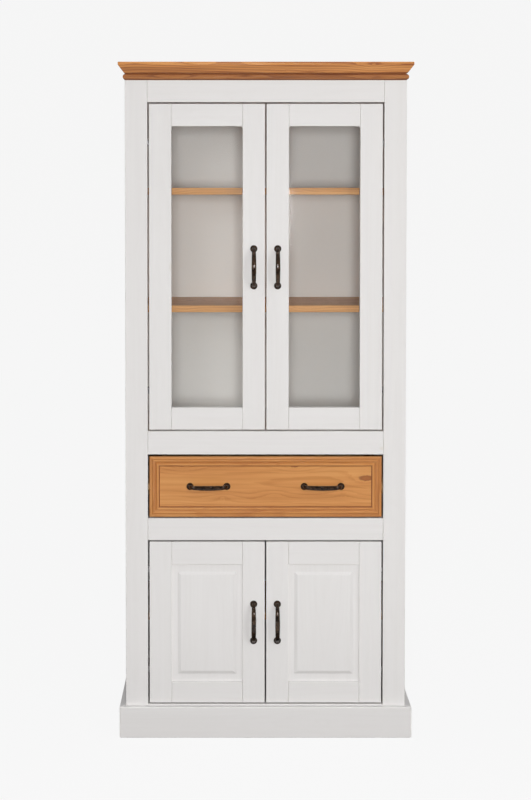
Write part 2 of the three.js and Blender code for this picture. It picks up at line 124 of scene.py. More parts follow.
def door_body(tier: Tier, side: Side) -> str:
    """Returns the name of a door's body."""
    return f"{tier.value}_{side.word}_door"


# ---------------------------------------------------------------- shader graphs


def paint(red: int, green: int, blue: int) -> Colour:
    """Turns a display colour from 0 to 255 into the linear colour that shaders use.

    Args:
        red: red as shown on a display.
        green: green as shown on a display.
        blue: blue as shown on a display.

    Returns:
        The linear colour, opaque.
    """
    levels = [c / 255 for c in (red, green, blue)]
    linear = [c / 12.92 if c <= 0.04045 else ((c + 0.055) / 1.055) ** 2.4 for c in levels]
    return (*linear, 1.0)


class Graph:
    """One material's node tree, written out in the order that the shader works."""

    def __init__(self, name: str) -> None:
        """Starts a material with a Principled shader on its output.

        Args:
            name: the material's name.
        """
        self.material = bpy.data.materials.new(name)
        self.material.use_nodes = True
        self.tree = self.material.node_tree
        self.tree.nodes.clear()
        self.output = self.tree.nodes.new("ShaderNodeOutputMaterial")
        self.shader = self.tree.nodes.new("ShaderNodeBsdfPrincipled")
        self.tree.links.new(self.shader.outputs[0], self.output.inputs["Surface"])

    def feed(self, socket: Socket, value: object) -> None:
        """Links a socket to another, or sets its value.

        Args:
            socket: the input to feed.
            value: an output socket, or a plain value.
        """
        if isinstance(value, Socket):
            self.tree.links.new(value, socket)
        else:
            socket.default_value = value

    def node(self, kind: str, inputs: dict | None = None, **settings: object) -> bpy.types.Node:
        """Adds a node.

        Args:
            kind: the node's type, without its "ShaderNode" prefix.
            inputs: input names with the sockets or values that feed them.
            **settings: the node's own settings.

        Returns:
            The new node.
        """
        made = self.tree.nodes.new(f"ShaderNode{kind}")
        for name, value in settings.items():
            setattr(made, name, value)
        for name, value in (inputs or {}).items():
            self.feed(made.inputs[name], value)
        return made

    def math(self, operation: str, *values: object) -> Socket:
        """Returns the result of a Math node on up to three sockets or numbers."""
        made = self.node("Math", operation=operation)
        for socket, value in zip(made.inputs, values):
            self.feed(socket, value)
        return made.outputs[0]

    def vector(self, operation: str, *values: object) -> Socket:
        """Returns the result of a Vector Math node: a number for LENGTH, else a vector."""
        made = self.node("VectorMath", operation=operation)
        for socket, value in zip(made.inputs, values):
            self.feed(socket, value)
        return made.outputs["Value" if operation == "LENGTH" else "Vector"]

    def span(self, value: object, start: float, end: float, low: float, high: float) -> Socket:
        """Maps a number from one range to another and keeps it inside.

        Args:
            value: the number's socket.
            start: the value that becomes low.
            end: the value that becomes high.
            low: the result at start.
            high: the result at end.

        Returns:
            The mapped number's socket.
        """
        names = ("Value", "From Min", "From Max", "To Min", "To Max")
        inputs = dict(zip(names, (value, start, end, low, high)))
        return self.node("MapRange", inputs, clamp=True).outputs[0]

    def noise(self, where: object, stretch: Sequence[float], detail: float = 2.0) -> bpy.types.Node:
        """Adds a Noise texture.

        Args:
            where: the coordinates' socket.
            stretch: repeats per metre along, across and through the board.
            detail: how many finer layers are added.

        Returns:
            The Noise node, whose first output is a number and second a colour.
        """
        spot = self.vector("MULTIPLY", where, tuple(stretch))
        return self.node("TexNoise", {"Vector": spot, "Scale": 1.0, "Detail": detail})

    def ramp(
        self, value: object, stops: Sequence[tuple[float, Colour]], ease: bool = False
    ) -> Socket:
        """Turns a number into a colour through a list of stops.

        Args:
            value: the number's socket.
            stops: each stop's position from 0 to 1 and its colour.
            ease: whether the colours ease into each other.

        Returns:
            The colour's socket.
        """
        made = self.node("ValToRGB", {"Fac": value})
        made.color_ramp.interpolation = "EASE" if ease else "LINEAR"
        elements = made.color_ramp.elements
        while len(elements) < len(stops):
            elements.new(1.0)
        for element, (position, colour) in zip(elements, stops):
            element.position = position
            element.color = colour
        return made.outputs["Color"]

    def blend(self, share: object, first: object, second: object) -> Socket:
        """Mixes two colours.

        Args:
            share: how much of the second shows.
            first: the colour below.
            second: the colour on top.

        Returns:
            The mixed colour's socket.
        """
        made = self.node("Mix", data_type="RGBA", blend_type="MIX", clamp_factor=True)
        for index, value in ((0, share), (6, first), (7, second)):
            self.feed(made.inputs[index], value)
        return made.outputs[2]

    def relief(self, height: object, depth: float) -> None:
        """Bumps the surface.

        Args:
            height: the height's socket, from 0 to 1.
            depth: how far 1 stands above 0, in metres.
        """
        bump = self.node("Bump", {"Height": height, "Distance": depth, "Strength": 1.0})
        self.feed(self.shader.inputs["Normal"], bump.outputs["Normal"])

    def place(self) -> Socket:
        """Returns each point's place in the board's own grain space, moved on at each stave."""
        own = self.node("TexCoord").outputs["Object"]
        stave = self.node("Attribute", attribute_name="stave").outputs["Vector"]
        return self.vector("ADD", own, stave)


# ---------------------------------------------------------------- finishes


@dataclass(frozen=True)
class Growth:
    """The sockets that say how the wood grew at each point, all from 0 to 1."""

    late: Socket
    streak: Socket
    fibre: Socket
    knot: Socket
    rim: Socket
    cloud: Socket


Stretch = tuple[float, float, float]
RING_TONES = ((0.0, 0.0), (0.50, 0.22), (0.84, 1.0), (0.93, 0.85), (1.0, 0.0))


@dataclass(frozen=True)
class Pine:
    """How the pine of a board grew: its rings, how deep the pith lies, its knots, streaks and fibres.

    A stretch is how often a pattern repeats in a metre along, across and through the board.
    """

    ring: float = 0.0062
    pith: float = 0.055
    wander: float = 0.060
    knot_along: float = 0.30
    knot_across: float = 0.105
    knot_radius: float = 0.0070
    knot_rarity: float = 0.50
    knot_length: float = 0.36
    knot_edge: float = 0.0014
    knot_rim: float = 0.0028
    knot_ragged: float = 0.005
    halo: float = 0.034
    halo_pull: float = 1.7
    drift: Stretch = (1.3, 4.0, 4.0)
    ragged: Stretch = (5.0, 70.0, 70.0)
    streak: Stretch = (2.2, 95.0, 95.0)
    fibre: Stretch = (22.0, 1100.0, 1100.0)
    cloud: Stretch = (3.0, 9.0, 9.0)

    def grow(self, graph: Graph) -> Growth:
        """Adds the nodes for rings, streaks, fibres and knots.

        Args:
            graph: the material's graph.

        Returns:
            The sockets that a finish colours.
        """
        spot = graph.place()
        drift = graph.noise(spot, self.drift).outputs[1]
        swing = graph.vector("SUBTRACT", drift, (0.5, 0.5, 0.5))
        swing = graph.vector("MULTIPLY", swing, (0.0, self.wander, self.wander))
        away, radius = self.knots(graph, spot)
        edge = graph.math("SUBTRACT", away, radius)
        knot = graph.span(edge, -self.knot_edge, self.knot_edge, 1.0, 0.0)
        rim = graph.span(graph.math("ABSOLUTE", edge), 0.0, self.knot_rim, 1.0, 0.0)
        rim = graph.math("MULTIPLY", rim, graph.span(radius, 0.0, 0.002, 0.0, 1.0))
        halo = graph.math("POWER", graph.span(edge, 0.0, self.halo, 1.0, 0.0), 2.0)
        flat = graph.vector("MULTIPLY", spot, (0.0, 1.0, 1.0))
        heart = graph.vector("ADD", graph.vector("ADD", flat, swing), (0.0, 0.0, self.pith))
        rings = graph.math("DIVIDE", graph.vector("LENGTH", heart), self.ring)
        ragged = graph.noise(spot, self.ragged).outputs[0]
        rings = graph.math("ADD", graph.math("MULTIPLY_ADD", halo, self.halo_pull, rings), ragged)
        stops = [(at, (tone, tone, tone, 1.0)) for at, tone in RING_TONES]
        late = graph.ramp(graph.math("FRACT", rings), stops, ease=True)
        streak = graph.noise(spot, self.streak, detail=4.0).outputs[0]
        fibre = graph.noise(spot, self.fibre).outputs[0]
        cloud = graph.noise(spot, self.cloud, detail=3.0).outputs[0]
        return Growth(late, streak, fibre, knot, rim, cloud)

    def knots(
        self, graph: Graph, spot: Socket
    ) -> tuple[Socket, Socket]:
        """Scatters knots over the face.

        Args:
            graph: the material's graph.
            spot: the place in grain space.

        Returns:
            How far the nearest knot's middle is, and that knot's radius, below zero where there is none.
        """
        cells = (1.0 / self.knot_along, 1.0 / self.knot_across, 0.0)
        grid = graph.vector("MULTIPLY", spot, cells)
        inputs = {"Vector": grid, "Scale": 1.0, "Randomness": 0.9}
        cell = graph.node("TexVoronoi", inputs, voronoi_dimensions="2D")
        offset = graph.vector("SUBTRACT", grid, cell.outputs["Position"])
        size = (self.knot_along * self.knot_length, self.knot_across, 0.0)
        offset = graph.vector("MULTIPLY", offset, size)
        ragged = graph.noise(spot, (130.0, 170.0, 0.0)).outputs[0]
        ragged = graph.math("MULTIPLY_ADD", ragged, self.knot_ragged, -self.knot_ragged / 2)
        away = graph.math("ADD", graph.vector("LENGTH", offset), ragged)
        chance = graph.node("SeparateColor", {"Color": cell.outputs["Color"]}).outputs[0]
        return away, graph.span(chance, self.knot_rarity, 1.0, -0.004, self.knot_radius)


@dataclass(frozen=True)
class Finish:
    """A named finish, with the name of a material slot."""

    name: str
    slot: str

    def face(self) -> bpy.types.Material:
        """Returns the finish as it is on open faces."""
        return self.made(self.name, worn=False)

    def worn(self) -> bpy.types.Material:
        """Returns the finish as it is on rubbed edges."""
        return self.made(f"{self.name}_edge", worn=True)

    def made(self, name: str, worn: bool) -> bpy.types.Material:
        """Makes a material once and finds it again after that.

        Args:
            name: the material's name.
            worn: whether it is for rubbed edges.

        Returns:
            The material.
        """
        found = bpy.data.materials.get(name)
        if found is None:
            graph = Graph(name)
            self.paint_on(graph, worn)
            found = graph.material
        return found

    def paint_on(self, graph: Graph, worn: bool) -> None:
        """Writes the finish into a material's graph; each finish has its own."""
        raise NotImplementedError


@dataclass(frozen=True)
class WhiteLacquer(Finish):
    """Thin satin lacquer through which the pine's rings and knots just show."""

    light: Colour = paint(233, 231, 230)
    shade: Colour = paint(222, 219, 217)
    knot: Colour = paint(214, 205, 192)
    rubbed: Colour = paint(240, 238, 235)
    bare: Colour = paint(205, 184, 158)
    rings: float = 0.09
    streaks: float = 0.46
    clouds: float = 0.30
    knots: float = 0.35
    relief: float = 0.022 * MM
    pine: Pine = Pine(knot_rarity=0.4)

    def paint_on(self, graph: Graph, worn: bool) -> None:
        """Writes the lacquer.

        Args:
            graph: the material's graph.
            worn: whether the lacquer is rubbed thin, as on edges.
        """
        wood = self.pine.grow(graph)
        tone = graph.math("MULTIPLY", wood.streak, self.streaks)
        tone = graph.math("MULTIPLY_ADD", wood.late, self.rings, tone)
        tone = graph.math("MULTIPLY_ADD", wood.cloud, self.clouds, tone)
        colour = graph.blend(tone, self.rubbed if worn else self.light, self.shade)
        colour = graph.blend(graph.math("MULTIPLY", wood.knot, self.knots), colour, self.knot)
        if worn:
            bare = graph.span(wood.fibre, 0.62, 0.75, 0.0, 0.35)
            colour = graph.blend(bare, colour, self.bare)
        graph.feed(graph.shader.inputs["Base Color"], colour)
        graph.feed(graph.shader.inputs["Roughness"], graph.span(wood.streak, 0.3, 0.7, 0.36, 0.50))
        graph.shader.inputs["Coat Weight"].default_value = 0.12
        graph.shader.inputs["Coat Roughness"].default_value = 0.3
        height = graph.math("MULTIPLY_ADD", wood.late, 0.5, graph.math("MULTIPLY", wood.fibre, 0.5))
        graph.relief(height, self.relief)


@dataclass(frozen=True)
class StainedPine(Finish):
    """Pine under a stain and satin lacquer, with rings, streaks and dark-rimmed knots."""

    light: Colour = paint(220, 161, 96)
    middle: Colour = paint(203, 138, 74)
    dark: Colour = paint(172, 104, 48)
    knot: Colour = paint(152, 84, 36)
    rim: Colour = paint(112, 56, 24)
    rubbed: Colour = paint(228, 170, 100)
    gloss: float = 0.34
    rings: float = 0.18
    streaks: float = 0.84
    clouds: float = 0.40
    fibres: float = 0.16
    lift: float = 0.24
    knots: float = 0.85
    rims: float = 0.6
    # How far marked recesses darken: partly stain pooled there, partly painted shade where shadow lines fall
    # in hollows and gaps.
    pooled: float = 0.8
    varnish: float = 0.25
    relief: float = 0.12 * MM
    pine: Pine = Pine()

    def paint_on(self, graph: Graph, worn: bool) -> None:
        """Writes the stained wood.

        Args:
            graph: the material's graph.
            worn: whether the stain is rubbed lighter, as on edges.
        """
        wood = self.pine.grow(graph)
        tone = graph.math("MULTIPLY", wood.streak, self.streaks)
        tone = graph.math("MULTIPLY_ADD", wood.late, self.rings, tone)
        tone = graph.math("MULTIPLY_ADD", wood.cloud, self.clouds, tone)
        tone = graph.math("MULTIPLY_ADD", wood.fibre, self.fibres, graph.math("SUBTRACT", tone, self.lift))
        stops = [(0.08, self.rubbed if worn else self.light), (0.48, self.middle), (0.92, self.dark)]
        colour = graph.ramp(tone, stops)
        colour = graph.blend(graph.math("MULTIPLY", wood.knot, self.knots), colour, self.knot)
        colour = graph.blend(graph.math("MULTIPLY", wood.rim, self.rims), colour, self.rim)
        if worn:
            colour = graph.blend(graph.span(wood.fibre, 0.55, 0.75, 0.15, 0.5), colour, self.light)
        # Painted shade with pooled stain: points marked as recesses darken toward the knot-rim brown,
        # standing in for the shadow lines in hollows and gaps.
        pooled = graph.node("Attribute", attribute_name="recess").outputs["Fac"]
        colour = graph.blend(graph.math("MULTIPLY", pooled, self.pooled), colour, self.rim)
        graph.feed(graph.shader.inputs["Base Color"], colour)
        rough = graph.span(tone, 0.0, 1.0, self.gloss, self.gloss + 0.16)
        graph.feed(graph.shader.inputs["Roughness"], rough)
        graph.shader.inputs["Coat Weight"].default_value = self.varnish
        graph.shader.inputs["Coat Roughness"].default_value = 0.22
        height = graph.math("MULTIPLY_ADD", wood.late, 0.5, graph.math("MULTIPLY", wood.fibre, 0.5))
        graph.relief(height, self.relief)


@dataclass(frozen=True)
class Board(Finish):
    """Thin pressed board: one tone with fine specks."""

    light: Colour = paint(240, 238, 236)
    speck: Colour = paint(232, 230, 227)
    roughness: float = 0.55
    relief: float = 0.04 * MM

    def paint_on(self, graph: Graph, worn: bool) -> None:
        """Writes the board.

        Args:
            graph: the material's graph.
            worn: whether it is for rubbed edges, which show more specks.
        """
        spot = graph.place()
        fine = graph.noise(spot, (420.0, 420.0, 420.0), detail=3.0).outputs[0]
        broad = graph.noise(spot, (3.5, 3.5, 3.5), detail=3.0).outputs[0]
        share = graph.math("MULTIPLY_ADD", fine, 0.7, graph.math("MULTIPLY", broad, 0.5))
        share = graph.span(share, 0.4, 0.8, 0.25 if worn else 0.0, 1.0)
        graph.feed(graph.shader.inputs["Base Color"], graph.blend(share, self.light, self.speck))
        rough = graph.span(fine, 0.3, 0.7, self.roughness - 0.05, self.roughness + 0.1)
        graph.feed(graph.shader.inputs["Roughness"], rough)
        graph.relief(fine, self.relief)


@dataclass(frozen=True)
class Metal(Finish):
    """Metal with a mottled tone, fine scratches and rubbed high spots."""

    light: Colour = paint(72, 52, 37)
    dark: Colour = paint(30, 22, 17)
    rubbed: Colour = paint(112, 86, 62)
    roughness: float = 0.24
    lacquer: float = 0.45
    scratch: Sequence[float] = (260.0, 260.0, 260.0)
    relief: float = 0.008 * MM

    def paint_on(self, graph: Graph, worn: bool) -> None:
        """Writes the metal.

        Args:
            graph: the material's graph.
            worn: whether it is for rubbed edges.
        """
        spot = graph.place()
        mottle = graph.noise(spot, (95.0, 95.0, 95.0), detail=4.0).outputs[0]
        scratch = graph.noise(spot, self.scratch, detail=3.0).outputs[0]
        colour = graph.blend(graph.span(mottle, 0.35, 0.68, 0.0, 1.0), self.dark, self.light)
        rub = graph.span(scratch, 0.58 if not worn else 0.35, 0.8, 0.0, 0.8)
        colour = graph.blend(rub, colour, self.rubbed)
        graph.feed(graph.shader.inputs["Base Color"], colour)
        graph.shader.inputs["Metallic"].default_value = 1.0
        graph.shader.inputs["Coat Weight"].default_value = self.lacquer
        graph.shader.inputs["Coat Roughness"].default_value = 0.12
        rough = graph.span(mottle, 0.3, 0.7, self.roughness, self.roughness + 0.12)
        graph.feed(graph.shader.inputs["Roughness"], rough)
        height = graph.math("MULTIPLY_ADD", scratch, 0.5, graph.math("MULTIPLY", mottle, 0.5))
        graph.relief(height, self.relief)


@dataclass(frozen=True)
class FloatGlass(Finish):
    """Clear glass that mirrors a little, more at a slant, with a faint smear of cleaning."""

    tint: Colour = (0.992, 0.996, 0.993, 1.0)
    index: float = 1.45

    def paint_on(self, graph: Graph, worn: bool) -> None:
        """Writes the glass.

        Args:
            graph: the material's graph.
            worn: glass has no worn form, so it makes no difference.
        """
        graph.tree.nodes.remove(graph.shader)
        smear = graph.noise(graph.place(), (9.0, 9.0, 3.0), detail=3.0).outputs[0]
        clear = graph.node("BsdfTransparent", {"Color": self.tint})
        mirror = graph.node("BsdfAnisotropic", {"Color": (1.0, 1.0, 1.0, 1.0)})
        graph.feed(mirror.inputs["Roughness"], graph.span(smear, 0.3, 0.7, 0.02, 0.07))
        behind = graph.node("NewGeometry").outputs["Backfacing"]
        index = graph.math("MULTIPLY_ADD", behind, 1 / self.index - self.index, self.index)
        slant = graph.node("Fresnel", {"IOR": index})
        both = graph.node("MixShader", {"Fac": slant.outputs[0]})
        graph.tree.links.new(clear.outputs[0], both.inputs[1])
        graph.tree.links.new(mirror.outputs[0], both.inputs[2])
        graph.tree.links.new(both.outputs[0], graph.output.inputs["Surface"])


LACQUER = WhiteLacquer("white_lacquer_pine", "white_lacquer")
HONEY = StainedPine(
    "honey_stained_pine",
    "honey_pine",
    pine=Pine(knot_along=0.16, knot_across=0.06, knot_radius=0.0058),
)
SHELF_HONEY = StainedPine(
    "honey_stained_pine_shelf",
    "honey_pine",
    light=paint(233, 184, 130),
    middle=paint(217, 161, 103),
    dark=paint(186, 126, 74),
    gloss=0.44,
    rings=0.30,
    varnish=0.20,
    pine=Pine(knot_along=0.15, knot_across=0.06, knot_radius=0.0065),
)
# Partly painted light: lighter in its light and middle tones than the drawer's stain, making up for the
# shade that the crown's downward-facing slope gets.
CROWN_HONEY = StainedPine(
    "honey_stained_pine_crown",
    "honey_pine",
    light=paint(234, 170, 98),
    middle=paint(210, 141, 74),
    dark=paint(152, 86, 38),
    rings=0.34,
    pine=Pine(ring=0.0046, wander=0.030, knot_along=0.16, knot_across=0.06, knot_radius=0.0060),
)
# Painted shade: a darker copy of the crown's honey stain for the bead, standing in for the shadow lines
# above and below it; the bead is stained like the crown.
SHADED_BEAD_HONEY = StainedPine(
    "honey_stained_pine_bead",
    "honey_pine",
    light=paint(188, 128, 68),
    middle=paint(162, 100, 48),
    dark=paint(116, 62, 26),
    rings=0.34,
    pine=Pine(ring=0.0050, wander=0.030, knot_along=0.14, knot_across=0.05, knot_radius=0.0060),
)
CLEAR = StainedPine(
    "clear_varnished_pine",
    "clear_pine",
    light=paint(232, 203, 158),
    middle=paint(221, 186, 137),
    dark=paint(196, 152, 100),
    knot=paint(160, 104, 62),
    rim=paint(112, 66, 38),
    rubbed=paint(236, 212, 172),
    gloss=0.48,
)
BACK_WHITE = Board("painted_backboard", "backboard")
BACK_RAW = Board(
    "raw_fibreboard",
    "backboard",
    light=paint(166, 132, 96),
    speck=paint(128, 96, 66),
    roughness=0.8,
    relief=0.15 * MM,
)
BRONZE = Metal("aged_bronze_casting", "antique_bronze")
STEEL = Metal(
    "nickel_steel",
    "hinge_steel",
    light=paint(206, 206, 208),
    dark=paint(172, 173, 176),
    rubbed=paint(226, 226, 228),
    roughness=0.24,
    lacquer=0.0,
    scratch=(900.0, 60.0, 900.0),
    relief=0.01 * MM,
)
GLASS = FloatGlass("float_glass", "glass")


# ---------------------------------------------------------------- solid shapes


SHIFTS = random.Random(SEED)


def ring(points: Iterable[Sequence[float]]) -> list[Vector]:
    """Returns points as vectors, in the frame."""
    return [Vector(p) for p in points]


class Shape:
    """Closed solids, given in the frame's metres, that become one piece laid along its own grain."""

    def __init__(self) -> None:
        """Starts with no solids."""
        self.mesh = bmesh.new()
        self.stave = self.mesh.verts.layers.float_vector.new("stave")
        # The recess layer carries painted shade, partly pooled stain, into the stained finish.
        self.recess = self.mesh.verts.layers.float.new("recess")

    def loft(
        self,
        rings: Sequence[Sequence[Vector]],
        stave: Sequence[float] = (0.0, 0.0, 0.0),
        recess: Sequence[float] = (),
    ) -> None:
        """Joins rings of points into one closed solid with a cap at each end.

        Args:
            rings: the rings in order, each with the same number of points.
            stave: how far this solid's grain is moved on from the piece's own.
            recess: how dark each of a ring's points is painted, from 0 to 1, partly pooled stain and partly
                painted shade, or nothing for none.
        """
        rows = []
        for points in rings:
            row = [self.mesh.verts.new(p) for p in points]
            for k, vert in enumerate(row):
                vert[self.stave] = Vector(stave)
                vert[self.recess] = recess[k] if recess else 0.0
            rows.append(row)
        count = len(rows[0])
        for low, high in zip(rows, rows[1:]):
            for i in range(count):
                j = (i + 1) % count
                self.mesh.faces.new((low[i], low[j], high[j], high[i]))
        self.mesh.faces.new(rows[0][::-1])
        self.mesh.faces.new(rows[-1])
        bmesh.ops.remove_doubles(self.mesh, verts=[v for row in rows for v in row], dist=1e-7)

    def block(self, low: Vector, high: Vector, stave: Sequence[float] = (0.0, 0.0, 0.0)) -> None:
        """Adds a sawn block.

        Args:
            low: its lowest corner.
            high: its highest corner.
            stave: how far its grain is moved on.
        """
        corners = ((low.x, low.y), (high.x, low.y), (high.x, high.y), (low.x, high.y))
        self.loft([ring((x, y, z) for x, y in corners) for z in (low.z, high.z)], stave)

    def strip(self, profile: Profile, stations: Sequence[tuple[Vector, Vector, Vector]]) -> None:
        """Runs a moulding's profile through stations, so that a slanted station cuts a mitre.

        Args:
            profile: the section's points, as distances along a station's two directions, and their painted
                shade, partly pooled stain.
            stations: each station's point and two directions.
        """
        # A point's third number is its painted shade, partly pooled stain, carried on the recess attribute.
        pooled = [point[2] if len(point) > 2 else 0.0 for point in profile]
        self.loft([[p + u * a + v * b for a, b, *_ in profile] for p, u, v in stations], recess=pooled)

    def turned(self, profile: Profile, base: Vector, axis: Vector, sides: int = 24) -> None:
        """Turns a profile round an axis.

        Args:
            profile: each ring's radius and its height above the base.
            base: the point the axis starts from.
            axis: the axis, of length 1.
            sides: how many sides each ring has.
        """
        u = axis.orthogonal().normalized()
        v = axis.cross(u)
        turns = [math.tau * i / sides for i in range(sides)]
        circle = [u * math.cos(t) + v * math.sin(t) for t in turns]
        self.loft([[base + axis * h + spoke * r for spoke in circle] for r, h in profile])

    def screw(self, base: Vector, axis: Vector, radius: float = 3.4 * MM, height: float = 0.9 * MM) -> None:
        """Adds a cross-head screw that stands on a face.

        Args:
            base: the middle of the head's underside.
            axis: the way the head looks.
            radius: the head's radius.
            height: how far the head stands up.
        """
        u = axis.orthogonal().normalized()
        v = axis.cross(u)
        arm, half = 0.58 * radius, 0.13 * radius
        cross = [(arm, half), (half, half), (half, arm), (-half, arm), (-half, half), (-arm, half)]
        cross += [(-a, -b) for a, b in cross]
        round_head = [(math.cos(t), math.sin(t)) for t in (math.atan2(b, a) for a, b in cross)]
        rows = [(round_head, radius, -0.3 * height), (round_head, radius, 0.25 * height)]
        rows += [(round_head, 0.9 * radius, 0.7 * height), (round_head, 0.7 * radius, height)]
        rows += [(cross, 1.0, height), (cross, 1.0, 0.2 * height)]
        self.loft([[base + u * (a * k) + v * (b * k) + axis * h for a, b in row] for row, k, h in rows])

    def glued(self, low: Vector, high: Vector, way: int, count: int) -> None:
        """Adds a panel glued up from staves that each have their own grain.

        Args:
            low: the panel's lowest corner.
            high: the panel's highest corner.
            way: the index of the direction that the staves lie side by side in.
            count: how many staves there are.
        """
        width = (high[way] - low[way]) / count
        for k in range(count):
            first, last = low.copy(), high.copy()
            first[way] = low[way] + k * width
            last[way] = first[way] + width
            along, across = SHIFTS.uniform(-3.0, 3.0), SHIFTS.uniform(-0.03, 0.03)
            self.block(first, last, (along, across - (k - (count - 1) / 2) * width, 0.0))

    def piece(
        self, name: str, finish: Finish, lay: Lay, body: str, soften: float = 0.0, cuts: int = 2
    ) -> Piece:
        """Makes the piece: it has its own grain origin, its edges are eased and it rides on its body.

        Args:
            name: the piece's name.
            finish: what it is finished in.
            lay: the way its grain and its wide face run.
            body: the body that it moves with.
            soften: how far its edges are eased, or 0 for none.
            cuts: how many steps an eased edge is made in.

        Returns:
            The piece's object.
        """
        bmesh.ops.recalc_face_normals(self.mesh, faces=self.mesh.faces)
        turn = lay.turn()
        back = turn.transposed()
        spots = [v.co for v in self.mesh.verts]
        middle = Vector([(min(p[i] for p in spots) + max(p[i] for p in spots)) / 2 for i in range(3)])
        own = Vector([SHIFTS.uniform(-reach, reach) for reach in (4.0, 0.025, 0.01)])
        origin = middle - turn @ own
        for vert in self.mesh.verts:
            vert.co = back @ (vert.co - origin)
        data = bpy.data.meshes.new(name)
        self.mesh.to_mesh(data)
        self.mesh.free()
        data.shade_smooth()
        made = bpy.data.objects.new(name, data)
        bpy.context.scene.collection.objects.link(made)
        made.matrix_world = Matrix.Translation(origin) @ turn.to_4x4()
        data.materials.append(finish.face())
        if soften:
            data.materials.append(finish.worn())
            ease(made, soften, cuts)
        else:
            data.set_sharp_from_angle(angle=SHARP_ANGLE)
        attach(made, body)
        return made


def ease(made: Piece, width: float, cuts: int) -> None:
    """Eases a piece's sharp edges, and gives them the worn finish.

    Args:
        made: the piece.
        width: how wide an eased edge is.
        cuts: how many steps it is made in.
    """
    bevel = made.modifiers.new("eased_edges", "BEVEL")
    bevel.width = width
    bevel.segments = cuts
    bevel.limit_method = "ANGLE"
    bevel.angle_limit = EASED_ANGLE
    bevel.harden_normals = True
    bevel.material = 1


def keep(node: str, finish: Finish, soften: float = 0.0) -> Piece:
    """Keeps a node of the frame as it is and gives it a finish.

    Args:
        node: the node's name.
        finish: what it is finished in.
        soften: how far its edges are eased, or 0 for none.

    Returns:
        The node's object.
    """
    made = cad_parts[node]
    made.data.materials.clear()
    made.data.materials.append(finish.face())
    if soften:
        made.data.materials.append(finish.worn())
        weld = made.modifiers.new("one_skin", "WELD")
        weld.merge_threshold = 1e-6
        ease(made, soften, 2)
    return made


def board(
    node: str,
    finish: Finish,
    lay: Lay,
    body: str,
    soften: float,
    staves: int = 1,
    trim: float = 0.0,
) -> Piece:
    """Makes a square-cut board in a node's place.

    Args:
        node: the node that it stands for, whose name it takes with "_board" added.
        finish: what it is finished in.
        lay: the way its grain and face run.
        body: the body that it moves with.
        soften: how far its edges are eased.
        staves: how many staves it is glued from, side by side across its grain.
        trim: how much is planed off each end, so that its joint shows as a fine line.

    Returns:
        The board's object.
    """
    low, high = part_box(node)
    end = Vector([abs(c) for c in lay.value[0].value]) * trim
    low, high = low + end, high - end
    shape = Shape()
    if staves == 1:
        shape.block(low, high)
    else:
        side_by_side = lay.turn().col[1]
        way = max(range(3), key=lambda i: abs(side_by_side[i]))
        shape.glued(low, high, way, staves)
    made = shape.piece(f"{node}_board", finish, lay, body, soften)
    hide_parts(node)
    return made


def mitred_frame(node: str, name: str, profile: Profile, finish: Finish, body: str) -> list[Piece]:
    """Makes four mitred lengths of a moulding round the front of a node.

    Args:
        node: the node that they stand for.
        name: the first words of the pieces' names.
        profile: the section in millimetres, inwards and back from the outer front edge, and painted shade,
            partly pooled stain.
        finish: what they are finished in.
        body: the body that they move with.

    Returns:
        The bottom, right, top and left lengths.
    """
    low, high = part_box(node)
    corners = [(low.x, low.z, 1, 1), (high.x, low.z, -1, 1)]
    corners += [(high.x, high.z, -1, -1), (low.x, high.z, 1, -1)]
    section = [(inwards * MM, back * MM, *pooled) for inwards, back, *pooled in profile]
    made = []
    for k, word in enumerate(("bottom", "right", "top", "left")):
        stations = []
        for x, z, lean_x, lean_z in (corners[k], corners[(k + 1) % 4]):
            slant = Vector((lean_x, 0.0, lean_z))
            stations.append((Vector((x, low.y, z)), slant, -Way.FRONT.vector()))
        shape = Shape()
        shape.strip(section, stations)
        made.append(shape.piece(f"{name}_{word}", finish, Lay.STILE if k % 2 else Lay.RAIL, body))
        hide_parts(node)
    return made


# ---------------------------------------------------------------- the white case


